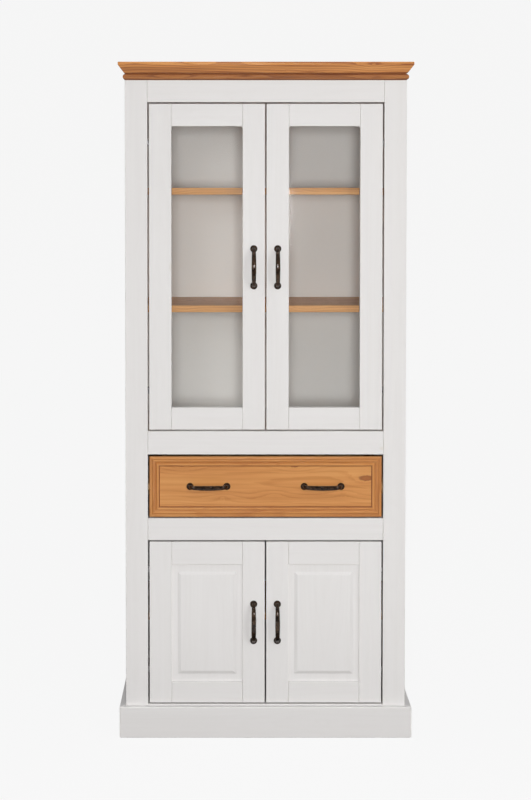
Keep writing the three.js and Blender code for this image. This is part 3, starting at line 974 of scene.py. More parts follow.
@dataclass
class Carcass:
    """The white case: posts, rails, floors, glued side panels and the plinth round its foot."""

    edge: float = 1.1 * MM
    panel_edge: float = 0.35 * MM
    staves: int = 4
    plinth_edge: float = 2.6 * MM
    plinth_cuts: int = 3
    block: float = 42 * MM
    block_lift: float = 4 * MM
    block_gap: float = 1 * MM
    block_edge: float = 0.8 * MM

    def build(self) -> list[Piece]:
        """Builds the whole case.

        Returns:
            Its pieces.
        """
        made = [board(f"front_post_{side.word}", LACQUER, Lay.STILE, CARCASS, self.edge) for side in Side]
        rails = ("top_rail", "upper_cross_rail", "lower_cross_rail")
        made += [board(rail, LACQUER, Lay.RAIL, CARCASS, self.edge, trim=JOINT_LINE) for rail in rails]
        for side in Side:
            node = f"side_panel_{side.word}"
            made.append(board(node, LACQUER, Lay.CHEEK, CARCASS, self.panel_edge, self.staves))
        for floor in ("drawer_bay_floor", "display_floor"):
            made.append(board(floor, LACQUER, Lay.SHELF, CARCASS, self.panel_edge, self.staves))
        made.append(self.bottom())
        made += self.plinth()
        return made

    def bottom(self) -> Piece:
        """Builds the bottom board, whose nose comes forward between the posts.

        Returns:
            The board.
        """
        low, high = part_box("bottom_board")
        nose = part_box("top_rail")[1]
        spans = [(nose.x, low.y), (nose.x, nose.y), (high.x, nose.y), (high.x, high.y)]
        shape = Shape()
        layers = [((-x, y, low.z), (x, y, low.z), (x, y, high.z), (-x, y, high.z)) for x, y in spans]
        shape.loft([ring(corners) for corners in layers])
        made = shape.piece("bottom_board_nosed", LACQUER, Lay.SHELF, CARCASS, self.edge)
        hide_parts("bottom_board")
        return made

    def plinth(self) -> list[Piece]:
        """Builds the plinth, mitred at its front corners, with glue blocks behind them.

        Returns:
            Its pieces.
        """
        low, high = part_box("plinth_front")
        deep, tall = high.y - low.y, high.z
        profile = ((0.0, 0.0), (deep, 0.0), (deep, tall), (0.0, tall))
        up, front = Way.UP.vector(), Way.FRONT.vector()
        shape = Shape()
        ends = []
        for side in Side:
            corner = Vector((side.value * (high.x - deep), high.y, 0.0))
            ends.append((corner, front + Vector((side.value, 0.0, 0.0)), up))
        shape.strip(profile, ends)
        eased = (self.plinth_edge, self.plinth_cuts)
        made = [shape.piece("plinth_front_board", LACQUER, Lay.RAIL, CARCASS, *eased)]
        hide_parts("plinth_front")
        for side, (corner, slant, _) in zip(Side, ends):
            back = Vector((corner.x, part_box("plinth_left")[1].y, 0.0))
            shape = Shape()
            shape.strip(profile, [(corner, slant, up), (back, Vector((side.value, 0.0, 0.0)), up)])
            made.append(shape.piece(f"plinth_{side.word}_board", LACQUER, Lay.RETURN, CARCASS, *eased))
            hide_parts(f"plinth_{side.word}")
            made.append(self.glue_block(side))
        return made

    def glue_block(self, side: Side) -> Piece:
        """Builds a three-cornered block that stiffens the case's foot.

        Args:
            side: the corner that it sits in.

        Returns:
            The block.
        """
        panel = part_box(f"side_panel_{side.word}")[0 if side is Side.RIGHT else 1].x
        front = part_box("front_post_left")[1].y
        inward = -side.value * self.block
        outline = ((panel, front), (panel + inward, front), (panel, front + self.block))
        levels = (self.block_lift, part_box("bottom_board")[0].z - self.block_gap)
        shape = Shape()
        shape.loft([ring((x, y, z) for x, y in outline) for z in levels])
        return shape.piece(f"foot_block_{side.word}", CLEAR, Lay.STILE, CARCASS, self.block_edge)


@dataclass
class BackPanel:
    """The thin back: painted inside, raw outside, and screwed round its edge."""

    inset: float = 9 * MM
    pitch: float = 0.19
    head: float = 3.2 * MM
    head_height: float = 0.7 * MM

    def build(self) -> list[Piece]:
        """Builds the panel and its screws.

        Returns:
            Both pieces.
        """
        low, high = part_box("back_panel")
        shape = Shape()
        shape.block(low, high)
        panel = shape.piece("back_panel_sheet", BACK_WHITE, Lay.STILE, CARCASS)
        panel.data.materials.append(BACK_RAW.face())
        for face in panel.data.polygons:
            face.material_index = 0 if face.normal.z > 0.5 else 1
        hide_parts("back_panel")
        return [panel, self.screws(low, high)]

    def screws(self, low: Vector, high: Vector) -> Piece:
        """Builds the screws round the panel's edge.

        Args:
            low: the panel's lowest corner.
            high: the panel's highest corner.

        Returns:
            The screws, as one piece.
        """
        shape = Shape()
        rows = round((high.z - low.z) / self.pitch)
        columns = round((high.x - low.x) / self.pitch)
        edge = self.inset / 2
        run = high.z - low.z - 2 * edge
        spots = []
        for k in range(rows + 1):
            spots += [(x, low.z + edge + run * k / rows) for x in (low.x + edge, high.x - edge)]
        floors = ("bottom_board", "drawer_bay_floor", "display_floor")
        for k in range(1, columns):
            x = low.x + (high.x - low.x) * k / columns
            spots += [(x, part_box(node)[0].z + self.inset) for node in floors]
        for x, z in spots:
            shape.screw(Vector((x, high.y, z)), -Way.FRONT.vector(), self.head, self.head_height)
        return shape.piece("back_panel_screws", STEEL, Lay.RAIL, CARCASS)


# ---------------------------------------------------------------- the crown


@dataclass
class Crown:
    """The honey-stained crown: a sloped moulding over a rounded bead on three sides, and a panel inside."""

    lip: float = 8 * MM
    foot: float = 14.2 * MM
    deep: float = 62 * MM
    bead_bulge: float = 2.0 * MM
    bead_depth: float = 6.0 * MM
    bead_steps: int = 10
    edge: float = 0.7 * MM
    panel_edge: float = 0.3 * MM
    staves: int = 4

    def build(self) -> list[Piece]:
        """Builds the crown.

        Returns:
            Its pieces.
        """
        made = self.layer("crown_board", self.slope(), "crown", CROWN_HONEY, self.edge)
        made += self.layer("crown_base_board", self.bead(), "crown_bead", SHADED_BEAD_HONEY, 0.0)
        return made

    def slope(self) -> Profile:
        """Returns the sloped moulding's section, out from its widest line and up from its foot."""
        low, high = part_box("crown_board")
        tall = high.z - low.z
        lip = tall - self.lip
        return (
            (-self.deep, 0.0),
            # The third number is painted shade, partly pooled stain: it darkens the slope's foot above the
            # bead, where a thin shadow line falls.
            (-self.foot - 3.0 * MM, 0.0, 1.0),
            (-self.foot - 3.0 * MM, 1.8 * MM, 1.0),
            (-self.foot - 0.3 * MM, 2.0 * MM, 0.6),
            (-self.foot, 2.6 * MM, 0.1),
            (-0.9 * MM, lip - 0.6 * MM),
            (-0.2 * MM, lip + 0.2 * MM),
            (0.0, lip + 1.2 * MM),
            (0.0, tall),
            (-self.deep, tall),
        )

    def bead(self) -> Profile:
        """Returns the bead's section: a rounded nose, drawn in at its foot."""
        low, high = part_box("crown_base_board")
        tall = high.z - low.z
        nose = []
        for k in range(self.bead_steps + 1):
            turn = math.pi * (k / self.bead_steps - 0.5)
            out = self.bead_bulge - self.bead_depth * (1 - math.cos(turn))
            # Painted shade, partly pooled stain: the nose darkens toward its top and bottom, and fully at
            # its foot and top, where shadow lines fall.
            pooled = max(0.0, abs(math.sin(turn)) - 0.75) * 4
            nose.append((out, tall * (0.5 + 0.43 * math.sin(turn)), pooled))
        foot, top = (nose[0][0], 0.0, 1.0), (nose[-1][0], tall, 1.0)
        return ((-self.deep, 0.0), foot, *nose, top, (-self.deep, tall))

    def layer(
        self, node: str, profile: Profile, name: str, finish: Finish, soften: float
    ) -> list[Piece]:
        """Builds one layer: three mitred lengths and the panel between them.

        Args:
            node: the node that the layer stands for.
            profile: the lengths' section.
            name: the first word of the pieces' names.
            finish: what the lengths are finished in.
            soften: how far the edges are eased.

        Returns:
            The layer's pieces.
        """
        low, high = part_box(node)
        up, front = Way.UP.vector(), Way.FRONT.vector()
        corners = [Vector((side.value * high.x, low.y, low.z)) for side in Side]
        slants = [front + Vector((side.value, 0.0, 0.0)) for side in Side]
        shape = Shape()
        shape.strip(profile, [(corner, slant, up) for corner, slant in zip(corners, slants)])
        made = [shape.piece(f"{name}_front", finish, Lay.RAIL, CARCASS, soften)]
        for side, corner, slant in zip(Side, corners, slants):
            end = Vector((corner.x, high.y, low.z))
            shape = Shape()
            shape.strip(profile, [(corner, slant, up), (end, Vector((side.value, 0.0, 0.0)), up)])
            made.append(shape.piece(f"{name}_{side.word}", finish, Lay.RETURN, CARCASS, soften))
        shape = Shape()
        inside = Vector((high.x - self.deep, low.y + self.deep, 0.0))
        first, last = Vector((-inside.x, inside.y, low.z)), Vector((inside.x, high.y, high.z))
        shape.glued(first, last, way=1, count=self.staves)
        made.append(shape.piece(f"{name}_panel", HONEY, Lay.SHELF, CARCASS, self.panel_edge))
        for piece in made:
            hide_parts(node)
        return made


# ---------------------------------------------------------------- inside fittings


@dataclass
class Shelves:
    """The loose shelves, glued up from staves, with four pins under each."""

    edge: float = 1.6 * MM
    staves: int = 4
    pin_radius: float = 2.5 * MM
    pin_reach: float = 8.5 * MM
    pin_inset: float = 0.04
    pin_sunk: float = 8 * MM
    pin_sides: int = 16

    def build(self) -> list[Piece]:
        """Builds the shelves and their pins.

        Returns:
            All the pieces.
        """
        made = []
        for node in ("shelf_lower", "shelf_middle", "shelf_top"):
            made.append(board(node, SHELF_HONEY, Lay.SHELF, CARCASS, self.edge, self.staves))
            made.append(self.pins(node))
        return made

    def pins(self, node: str) -> Piece:
        """Builds the four pins that carry a shelf.

        Args:
            node: the shelf's node.

        Returns:
            The pins, as one piece.
        """
        low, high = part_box(node)
        reach, radius = self.pin_reach, self.pin_radius
        nose = ((radius, reach - 0.9 * MM), (0.8 * radius, reach - 0.2 * MM), (0.3 * radius, reach))
        profile = ((radius, -self.pin_sunk), *nose)
        shape = Shape()
        for side in Side:
            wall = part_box(f"side_panel_{side.word}")[0 if side is Side.RIGHT else 1].x
            for y in (low.y + self.pin_inset, high.y - self.pin_inset):
                base = Vector((wall, y, low.z - radius))
                shape.turned(profile, base, Vector((-side.value, 0.0, 0.0)), self.pin_sides)
        return shape.piece(f"{node}_pins", STEEL, Lay.RAIL, CARCASS)


RUNNER_SHOULDER = 0.3


@dataclass
class Runners:
    """The wooden runners that the drawer's grooves slide on, screwed to the case."""

    edge: float = 0.5 * MM
    screws: int = 3
    screw_drop: float = 6 * MM

    def build(self) -> list[Piece]:
        """Builds both runners.

        Returns:
            The runners and their screws.
        """
        made = []
        for side in Side:
            node = f"drawer_runner_{side.word}"
            first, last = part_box(node)
            wall, tip = (last.x, first.x) if side is Side.RIGHT else (first.x, last.x)
            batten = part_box(f"front_post_{side.word}")[0 if side is Side.RIGHT else 1].x
            shoulder = (last.z - first.z) * RUNNER_SHOULDER
            foot, top = first.z + shoulder, last.z - shoulder
            outline = [(wall, first.z), (wall, last.z), (batten, last.z), (batten, top)]
            outline += [(tip, top), (tip, foot), (batten, foot), (batten, first.z)]
            shape = Shape()
            shape.loft([ring((x, y, z) for x, z in outline) for y in (first.y, last.y)])
            made.append(shape.piece(f"{node}_rail", CLEAR, Lay.RETURN, CARCASS, self.edge))
            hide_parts(node)
            shape = Shape()
            for k in range(self.screws):
                y = first.y + (last.y - first.y) * (k + 0.5) / self.screws
                shape.screw(Vector((batten, y, last.z - self.screw_drop)), Vector((-side.value, 0.0, 0.0)))
            made.append(shape.piece(f"{node}_screws", STEEL, Lay.RAIL, CARCASS))
        return made


# ---------------------------------------------------------------- handles


@dataclass
class BowHandle:
    """A cast bow handle on two domed rosettes, with sizes in millimetres.

    A grip point is its share of the half span, its height, and the bar's half width and half thickness.
    """

    rosette: Profile = (
        (9.5, 0.0),
        (9.5, 1.1),
        (9.1, 1.7),
        (8.3, 1.9),
        (7.7, 1.6),
        (7.1, 1.9),
        (6.6, 3.0),
        (5.6, 4.1),
        (4.0, 4.9),
        (2.0, 5.3),
        (0.4, 5.4),
    )
    grip: Sequence[tuple[float, float, float, float]] = (
        (1.00, 3.2, 3.6, 3.6),
        (0.995, 6.0, 3.7, 3.5),
        (0.975, 9.4, 4.0, 3.4),
        (0.93, 13.2, 4.5, 3.3),
        (0.84, 18.2, 5.0, 3.2),
        (0.68, 22.2, 5.4, 3.1),
        (0.46, 25.0, 5.7, 3.0),
        (0.23, 26.5, 5.9, 3.0),
        (0.0, 27.0, 6.0, 3.0),
    )
    span: float = 96 * MM
    rosette_sides: int = 32
    fineness: int = 4
    sides: int = 28
    squareness: float = 0.34

    def build(self, node: str, body: str, along: Vector) -> list[Piece]:
        """Builds a handle in a node's place.

        Args:
            node: the handle's node.
            body: the body that it moves with.
            along: the way its bar runs.

        Returns:
            The bar, and both rosettes as one piece.
        """
        low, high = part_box(node)
        foot = Vector(((low.x + high.x) / 2, high.y, (low.z + high.z) / 2))
        front = Way.FRONT.vector()
        wide = along.cross(front)
        lay = Lay.STILE if along.z else Lay.RAIL
        bar = Shape()
        bar.loft([self.section(foot, station, along, front, wide) for station in self.stations()])
        rosettes = Shape()
        for end in (-1, 1):
            base = foot + along * (end * self.span / 2)
            rosettes.turned([(r * MM, h * MM) for r, h in self.rosette], base, front, self.rosette_sides)
        made = [bar.piece(f"{node}_bar", BRONZE, lay, body)]
        made.append(rosettes.piece(f"{node}_rosettes", BRONZE, lay, body))
        for piece in made:
            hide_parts(node)
        return made

    def stations(self) -> list[tuple[float, float, float, float, float]]:
        """Works out the bar's stations from end to end.

        Returns:
            Each station's place, height, half width and half thickness in millimetres, and its slope.
        """
        points = [(-s, *rest) for s, *rest in self.grip] + [tuple(p) for p in self.grip[-2::-1]]
        fine = []
        for i in range(len(points) - 1):
            before, first = points[max(i - 1, 0)], points[i]
            last, after = points[i + 1], points[min(i + 2, len(points) - 1)]
            for step in range(self.fineness):
                t = step / self.fineness
                fine.append([self.curve(*four, t) for four in zip(before, first, last, after)])
        fine.append(list(points[-1]))
        half = self.span / 2 / MM
        made = []
        for i, (share, height, width, thick) in enumerate(fine):
            one, two = fine[max(i - 1, 0)], fine[min(i + 1, len(fine) - 1)]
            slope = math.atan2(two[1] - one[1], (two[0] - one[0]) * half)
            made.append((share * half, height, width, thick, slope))
        return made

    @staticmethod
    def curve(a: float, b: float, c: float, d: float, t: float) -> float:
        """Returns the point at t on a smooth curve through b and c, with a and d beyond them."""
        square, cube = 2 * a - 5 * b + 4 * c - d, 3 * b - a - 3 * c + d
        return 0.5 * (2 * b + (c - a) * t + square * t**2 + cube * t**3)

    def section(
        self, foot: Vector, station: Sequence[float], along: Vector, front: Vector, wide: Vector
    ) -> list[Vector]:
        """Returns the bar's rounded section at a station.

        Args:
            foot: the middle of the handle, on the face behind it.
            station: place, height, half width, half thickness and slope.
            along: the way the bar runs.
            front: the way out of the face.
            wide: the way across the bar.

        Returns:
            The section's points.
        """
        place, height, width, thick, slope = station
        middle = foot + (along * place + front * height) * MM
        out = front * math.cos(slope) - along * math.sin(slope)
        points = []
        for k in range(self.sides):
            turn = math.tau * k / self.sides
            a, b = math.cos(turn), math.sin(turn)
            a = math.copysign(abs(a) ** self.squareness, a)
            b = math.copysign(abs(b) ** self.squareness, b)
            points.append(middle + (wide * (a * width) + out * (b * thick)) * MM)
        return points


# ---------------------------------------------------------------- doors


@dataclass
class DoorFrame:
    """A door's two stiles and two rails, with a rebate or a groove behind their inner edges."""

    stile: float = 58 * MM
    top: float = 58 * MM
    bottom: float = 58 * MM
    thick: float = 20 * MM
    rebate: float = 8 * MM
    rebate_front: float = 12 * MM
    edge: float = 1.0 * MM
    corner: float = 0.0

    def build(self, tier: Tier, side: Side) -> list[Piece]:
        """Builds the frame.

        Args:
            tier: the door's tier.
            side: the door's side.

        Returns:
            The stiles and rails.
        """
        node = f"door_frame_{tier.value}_{side.word}"
        body = door_body(tier, side)
        low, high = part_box(node)
        inner_low, inner_high = self.opening(node)
        made = []
        for word, outer, inner in (("left", low.x, inner_low.x), ("right", high.x, inner_high.x)):
            shape = Shape()
            self.stile_solid(shape, outer, inner, (low.z, inner_low.z, inner_high.z, high.z), low.y)
            made.append(shape.piece(f"{node}_stile_{word}", LACQUER, Lay.STILE, body, self.edge))
        for word, outer, inner in (("bottom", low.z, inner_low.z), ("top", high.z, inner_high.z)):
            shape = Shape()
            ends = (inner_low.x + JOINT_LINE, inner_high.x - JOINT_LINE)
            self.rail_solid(shape, outer, inner, ends, low.y)
            if self.corner and word == "top":
                self.corner_blocks(shape, inner_low, inner_high, low.y)
            made.append(shape.piece(f"{node}_rail_{word}", LACQUER, Lay.RAIL, body, self.edge))
        for piece in made:
            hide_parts(node)
        return made

    def opening(self, node: str) -> tuple[Vector, Vector]:
        """Returns the opening's lowest and highest corners inside a frame's node."""
        low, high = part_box(node)
        first = Vector((low.x + self.stile, low.y, low.z + self.bottom))
        return first, Vector((high.x - self.stile, high.y, high.z - self.top))

    def stile_solid(
        self, shape: Shape, outer: float, inner: float, levels: Sequence[float], front: float
    ) -> None:
        """Adds a stile, rebated only between the rails.

        Args:
            shape: the shape that it is added to.
            outer: where its outer edge is.
            inner: where its inner edge is.
            levels: the heights of its foot, the opening's foot and top, and its own top.
            front: where its front face is.
        """
        away = math.copysign(self.rebate, outer - inner)
        step, back = front + self.rebate_front, front + self.thick

        def section(z: float, cut: bool) -> list[Vector]:
            """Returns the stile's outline at a height, with or without the rebate."""
            near = (inner + away, step) if cut else (inner, back)
            corner = [near, (inner + away, back)]
            outline = [(outer, front), (inner, front), (inner, step), *corner, (outer, back)]
            return ring((x, y, z) for x, y in outline)

        foot, low, high, top = levels
        low -= self.rebate
        high += self.rebate
        cuts = ((foot, False), (low, False), (low, True), (high, True), (high, False), (top, False))
        shape.loft([section(z, cut) for z, cut in cuts])

    def rail_solid(
        self, shape: Shape, outer: float, inner: float, ends: Sequence[float], front: float
    ) -> None:
        """Adds a rail between the stiles, with the same rebate.

        Args:
            shape: the shape that it is added to.
            outer: the height of its outer edge.
            inner: the height of its inner edge.
            ends: where it starts and ends.
            front: where its front face is.
        """
        away = math.copysign(self.rebate, outer - inner)
        step, back = front + self.rebate_front, front + self.thick
        outline = [(front, outer), (front, inner), (step, inner), (step, inner + away)]
        outline += [(back, inner + away), (back, outer)]
        shape.loft([ring((x, y, z) for y, z in outline) for x in ends])

    def corner_blocks(self, shape: Shape, low: Vector, high: Vector, front: float) -> None:
        """Adds the small slanted blocks in the opening's two top corners.

        Args:
            shape: the shape that they are added to.
            low: the opening's lowest corner.
            high: the opening's highest corner.
            front: where the frame's front face is.
        """
        for x, inward in ((low.x, 1), (high.x, -1)):
            outline = ((x, high.z), (x + inward * self.corner, high.z), (x, high.z - self.corner))
            shape.loft([ring((a, y, b) for a, b in outline) for y in (front, front + self.rebate_front)])


@dataclass
class GlazedDoor:
    """An upper door: a rebated frame, a pane, the bead that holds it, and a bow handle."""

    frame_sizes: DoorFrame
    bead: Profile = ((0.0, 0.0), (7.5, 0.0), (7.5, 1.4), (6.7, 3.0), (5.2, 3.8), (0.0, 3.9))

    def build(self, side: Side) -> list[Piece]:
        """Builds the door.

        Args:
            side: which side it hangs on.

        Returns:
            Its pieces.
        """
        body = door_body(Tier.UPPER, side)
        made = self.frame_sizes.build(Tier.UPPER, side)
        made.append(keep(f"glass_pane_{side.word}", GLASS))
        node = f"glazing_bead_{side.word}"
        made += mitred_frame(node, node, self.bead, LACQUER, body)
        made += BowHandle().build(f"handle_upper_{side.word}", body, Way.UP.vector())
        return made


@dataclass
class PanelledDoor:
    """A lower door: a grooved frame round a raised panel, with a bow handle."""

    frame_sizes: DoorFrame
    margin_side: float = 24 * MM
    margin_end: float = 29 * MM
    sunk: float = 6.9 * MM
    field: float = 3.0 * MM
    bevel: float = 8.5 * MM
    tongue: float = 9 * MM
    tongue_gap: float = 1 * MM
    lip: float = 0.6 * MM
    steps: Profile = ((1.0, 0.0), (0.93, 0.10), (0.10, 0.88), (0.0, 0.96), (-0.2, 1.0))

    def build(self, side: Side) -> list[Piece]:
        """Builds the door.

        Args:
            side: which side it hangs on.

        Returns:
            Its pieces.
        """
        body = door_body(Tier.LOWER, side)
        made = self.frame_sizes.build(Tier.LOWER, side)
        made.append(self.panel(side, body))
        made += BowHandle().build(f"handle_lower_{side.word}", body, Way.UP.vector())
        return made

    def panel(self, side: Side, body: str) -> Piece:
        """Builds the raised panel: a thin edge, a flat margin, a sloped step and a raised field.

        Args:
            side: the door's side.
            body: the door's body.

        Returns:
            The panel.
        """
        node = f"door_panel_lower_{side.word}"
        low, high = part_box(node)
        first, last = self.frame_sizes.opening(f"door_frame_lower_{side.word}")
        front = first.y

        def outline(inset_x: float, inset_z: float, y: float) -> list[Vector]:
            """Returns a rectangle inside the opening, at a depth."""
            left, right = first.x + inset_x, last.x - inset_x
            foot, top = first.z + inset_z, last.z - inset_z
            return ring(((left, y, foot), (right, y, foot), (right, y, top), (left, y, top)))

        out_x, out_z = first.x - low.x, first.z - low.z
        step = front + self.tongue
        rows = [outline(-out_x, -out_z, high.y), outline(-out_x, -out_z, step)]
        rows.append(outline(-self.tongue_gap, -self.tongue_gap, step))
        rows.append(outline(0.0, 0.0, front + self.sunk + self.lip))
        rise = self.sunk - self.field
        for share, lift in self.steps:
            out = self.bevel * share
            depth = front + self.sunk - rise * lift
            rows.append(outline(self.margin_side - out, self.margin_end - out, depth))
        shape = Shape()
        shape.loft(rows)
        made = shape.piece(node + "_raised", LACQUER, Lay.STILE, body)
        made.data.set_sharp_from_angle(angle=PANEL_ANGLE)
        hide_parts(node)
        return made


@dataclass
class DoorHinge:
    """A concealed hinge: the frame's cup and arm in steel, with screwed ears on the cup."""

    ear_reach: float = 30 * MM
    ear_start: float = 14 * MM
    ear_half: float = 6.5 * MM
    ear_thick: float = 1.2 * MM
    plate_screw: float = 17 * MM
    plate_inset: float = 12.5 * MM
    plate_thick: float = 3 * MM
    cup_edge: float = 0.25 * MM
    arm_edge: float = 0.35 * MM
    head: float = 3.0 * MM

    def build(self, tier: Tier, side: Side) -> list[Piece]:
        """Dresses a door's two hinges.

        Args:
            tier: the door's tier.
            side: the door's side.

        Returns:
            The hinges' pieces.
        """
        body = door_body(tier, side)
        ears, plates = Shape(), Shape()
        made = []
        back = -Way.FRONT.vector()
        for level in ("low", "high"):
            cup = f"hinge_cup_{tier.value}_{side.word}_{level}"
            arm = f"hinge_arm_{tier.value}_{side.word}_{level}"
            made += [keep(cup, STEEL, self.cup_edge), keep(arm, STEEL, self.arm_edge)]
            low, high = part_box(cup)
            inner = low.x if side is Side.RIGHT else high.x
            middle = Vector((inner + side.value * (high.z - low.z) / 2, 0.0, (low.z + high.z) / 2))
            middle.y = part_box(f"door_frame_{tier.value}_{side.word}")[1].y
            for end in (-1, 1):
                self.ear(ears, middle, end, back)
                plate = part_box(arm)[1 if side is Side.RIGHT else 0].x - side.value * self.plate_inset
                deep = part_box("front_post_left")[1].y + self.plate_thick
                plates.screw(Vector((plate, deep, middle.z + end * self.plate_screw)), back)
        made.append(ears.piece(f"hinge_ears_{tier.value}_{side.word}", STEEL, Lay.STILE, body))
        made.append(plates.piece(f"hinge_screws_{tier.value}_{side.word}", STEEL, Lay.STILE, CARCASS))
        return made

    def ear(self, shape: Shape, middle: Vector, end: int, back: Vector) -> None:
        """Adds one of a cup's two ears, rounded at its end, with a screw.

        Args:
            shape: the shape that it is added to.
            middle: the cup's middle, on the door's back face.
            end: 1 for the ear above the cup, -1 for the one below.
            back: the way out of the door's back.
        """
        half, reach = self.ear_half, self.ear_reach
        arc = [math.pi * k / 8 for k in range(9)]
        outline = [(half, self.ear_start)]
        outline += [(half * math.cos(t), reach - half + half * math.sin(t)) for t in arc]
        outline.append((-half, self.ear_start))
        rows = []
        for shrink, height in ((1.0, 0.0), (1.0, self.ear_thick * 0.7), (0.95, self.ear_thick)):
            rows.append([middle + Vector((a * shrink, 0.0, end * b)) + back * height for a, b in outline])
        shape.loft(rows)
        base = middle + Vector((0.0, 0.0, end * (reach - half))) + back * self.ear_thick
        shape.screw(base, back, self.head)


# ---------------------------------------------------------------- the drawer


@dataclass
class Drawer:
    """The drawer: a honey-stained front in a mitred moulding, on a box of clear pine."""

    # Each point is inwards and back in millimetres, then its painted shade, partly pooled stain: darkest at
    # the outer edge by the gap and at the step down to the field, lighter in the quirk and the valleys,
    # where shadow lines fall.
    moulding: Profile = (
        (0.0, 5.0, 1.0),
        (0.0, 1.3, 0.8),
        (0.5, 0.5, 0.35),
        (1.4, 0.0, 0.08),
        (7.2, 0.0, 0.12),
        (7.9, 0.6, 0.22),
        (8.3, 1.8, 0.45),
        (8.9, 1.2, 0.15),
        (9.8, 0.4, 0.0),
        (11.4, 0.1, 0.0),
        (13.0, 0.7, 0.0),
        (14.4, 2.0, 0.1),
        (15.6, 3.2, 0.16),
        (16.8, 3.8, 0.24),
        (18.0, 3.5, 0.16),
        (18.8, 2.4, 0.1),
        (19.8, 1.4, 0.0),
        (23.6, 1.2, 0.0),
        (24.7, 1.9, 0.6),
        (25.5, 3.6, 1.0),
        (27.0, 5.0, 1.0),
    )
    board_inset: float = 2.5 * MM
    runner_clearance: float = 1.0 * MM
    bottom_tongue: float = 4 * MM
    tongue_play: float = 0.3 * MM
    front_edge: float = 0.8 * MM
    side_edge: float = 0.6 * MM
    back_edge: float = 1.0 * MM
    bottom_edge: float = 0.4 * MM
    screw_inset: float = 16 * MM
    screw_sunk: float = 0.4 * MM
    head: float = 3.0 * MM
    head_height: float = 0.6 * MM

    def build(self) -> list[Piece]:
        """Builds the drawer.

        Returns:
            Its pieces.
        """
        made = [self.front()]
        made += mitred_frame("drawer_front_moulding", "drawer_moulding", self.moulding, HONEY, DRAWER)
        made += [self.side_board(side) for side in Side]
        made.append(board("drawer_back", CLEAR, Lay.RAIL, DRAWER, self.back_edge))
        made.append(board("drawer_bottom", BACK_WHITE, Lay.SHELF, DRAWER, self.bottom_edge))
        made.append(self.screws())
        for side in Side:
            made += BowHandle().build(f"drawer_handle_{side.word}", DRAWER, Way.ACROSS.vector())
        return made

    def front(self) -> Piece:
        """Builds the front board, which stands back a little inside the moulding's outer edge.

        Returns:
            The board.
        """
        low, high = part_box("drawer_front")
        inset = Vector((self.board_inset, 0.0, self.board_inset))
        shape = Shape()
        shape.block(low + inset, high - inset)
        made = shape.piece("drawer_front_board", HONEY, Lay.RAIL, DRAWER, self.front_edge)
        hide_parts("drawer_front")
        return made

    def side_board(self, side: Side) -> Piece:
        """Builds a side of the box, grooved outside for the runner and inside for the bottom.

        Args:
            side: which side it is.

        Returns:
            The board.
        """
        node = f"drawer_side_{side.word}"
        low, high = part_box(node)
        outer, inner = (high.x, low.x) if side is Side.RIGHT else (low.x, high.x)
        run_low, run_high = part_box(f"drawer_runner_{side.word}")
        tip = run_low.x if side is Side.RIGHT else run_high.x
        shoulder = (run_high.z - run_low.z) * RUNNER_SHOULDER
        groove = tip - side.value * self.runner_clearance
        foot = run_low.z + shoulder - self.runner_clearance
        top = run_high.z - shoulder + self.runner_clearance
        plate_low, plate_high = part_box("drawer_bottom")
        slot = inner + side.value * (self.bottom_tongue + self.tongue_play)
        outline = [(outer, low.z), (outer, foot), (groove, foot), (groove, top), (outer, top)]
        outline += [(outer, high.z), (inner, high.z), (inner, plate_high.z), (slot, plate_high.z)]
        outline += [(slot, plate_low.z), (inner, plate_low.z), (inner, low.z)]
        shape = Shape()
        shape.loft([ring((x, y, z) for x, z in outline) for y in (low.y, high.y)])
        made = shape.piece(f"{node}_board", CLEAR, Lay.RETURN, DRAWER, self.side_edge)
        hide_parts(node)
        return made

    def screws(self) -> Piece:
        """Builds the screws that hold the back between the sides.

        Returns:
            The screws, as one piece.
        """
        shape = Shape()
        low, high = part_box("drawer_back")
        for side in Side:
            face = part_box(f"drawer_side_{side.word}")[1 if side is Side.RIGHT else 0].x
            for z in (low.z + self.screw_inset, high.z - self.screw_inset):
                spot = Vector((face - side.value * self.screw_sunk, (low.y + high.y) / 2, z))
                shape.screw(spot, Vector((side.value, 0.0, 0.0)), self.head, self.head_height)
        return shape.piece("drawer_box_screws", STEEL, Lay.RAIL, DRAWER)


# ---------------------------------------------------------------- studio


@dataclass(frozen=True)
class Lamp:
    """A soft rectangular lamp or card: where it hangs and looks, its width and height, and its watts."""

    name: str
    place: Sequence[float]
    target: Sequence[float]
    size: tuple[float, float]
    power: float
    mirrored: bool = True
    lit: bool = True


LAMPS = (
    Lamp("front_softbox", (-0.06, -4.7, 1.40), (0.0, -0.1, 0.75), (0.7, 0.7), 97.0, mirrored=False),
    Lamp("key_softbox", (2.3, -3.6, 1.9), (0.0, -0.1, 0.7), (0.9, 0.9), 34.0, mirrored=False),
    Lamp("strip_light", (0.09, -4.0, 1.30), (0.09, 0.0, 1.15), (0.18, 0.36), 10.5),
    Lamp("left_card", (-2.6, -1.8, 1.3), (0.0, -0.2, 0.9), (0.7, 2.6), 22.0, lit=False),
    Lamp("right_card", (2.6, -1.8, 1.3), (0.0, -0.2, 0.9), (0.7, 2.6), 22.0, lit=False),
    Lamp("floor_card", (0.0, -1.8, 0.02), (0.0, -1.8, 1.0), (3.0, 2.4), 22.0, lit=False),
    Lamp("top_card", (0.2, -1.9, 3.4), (0.0, -0.2, 0.9), (2.4, 0.7), 9.0, lit=False),
)


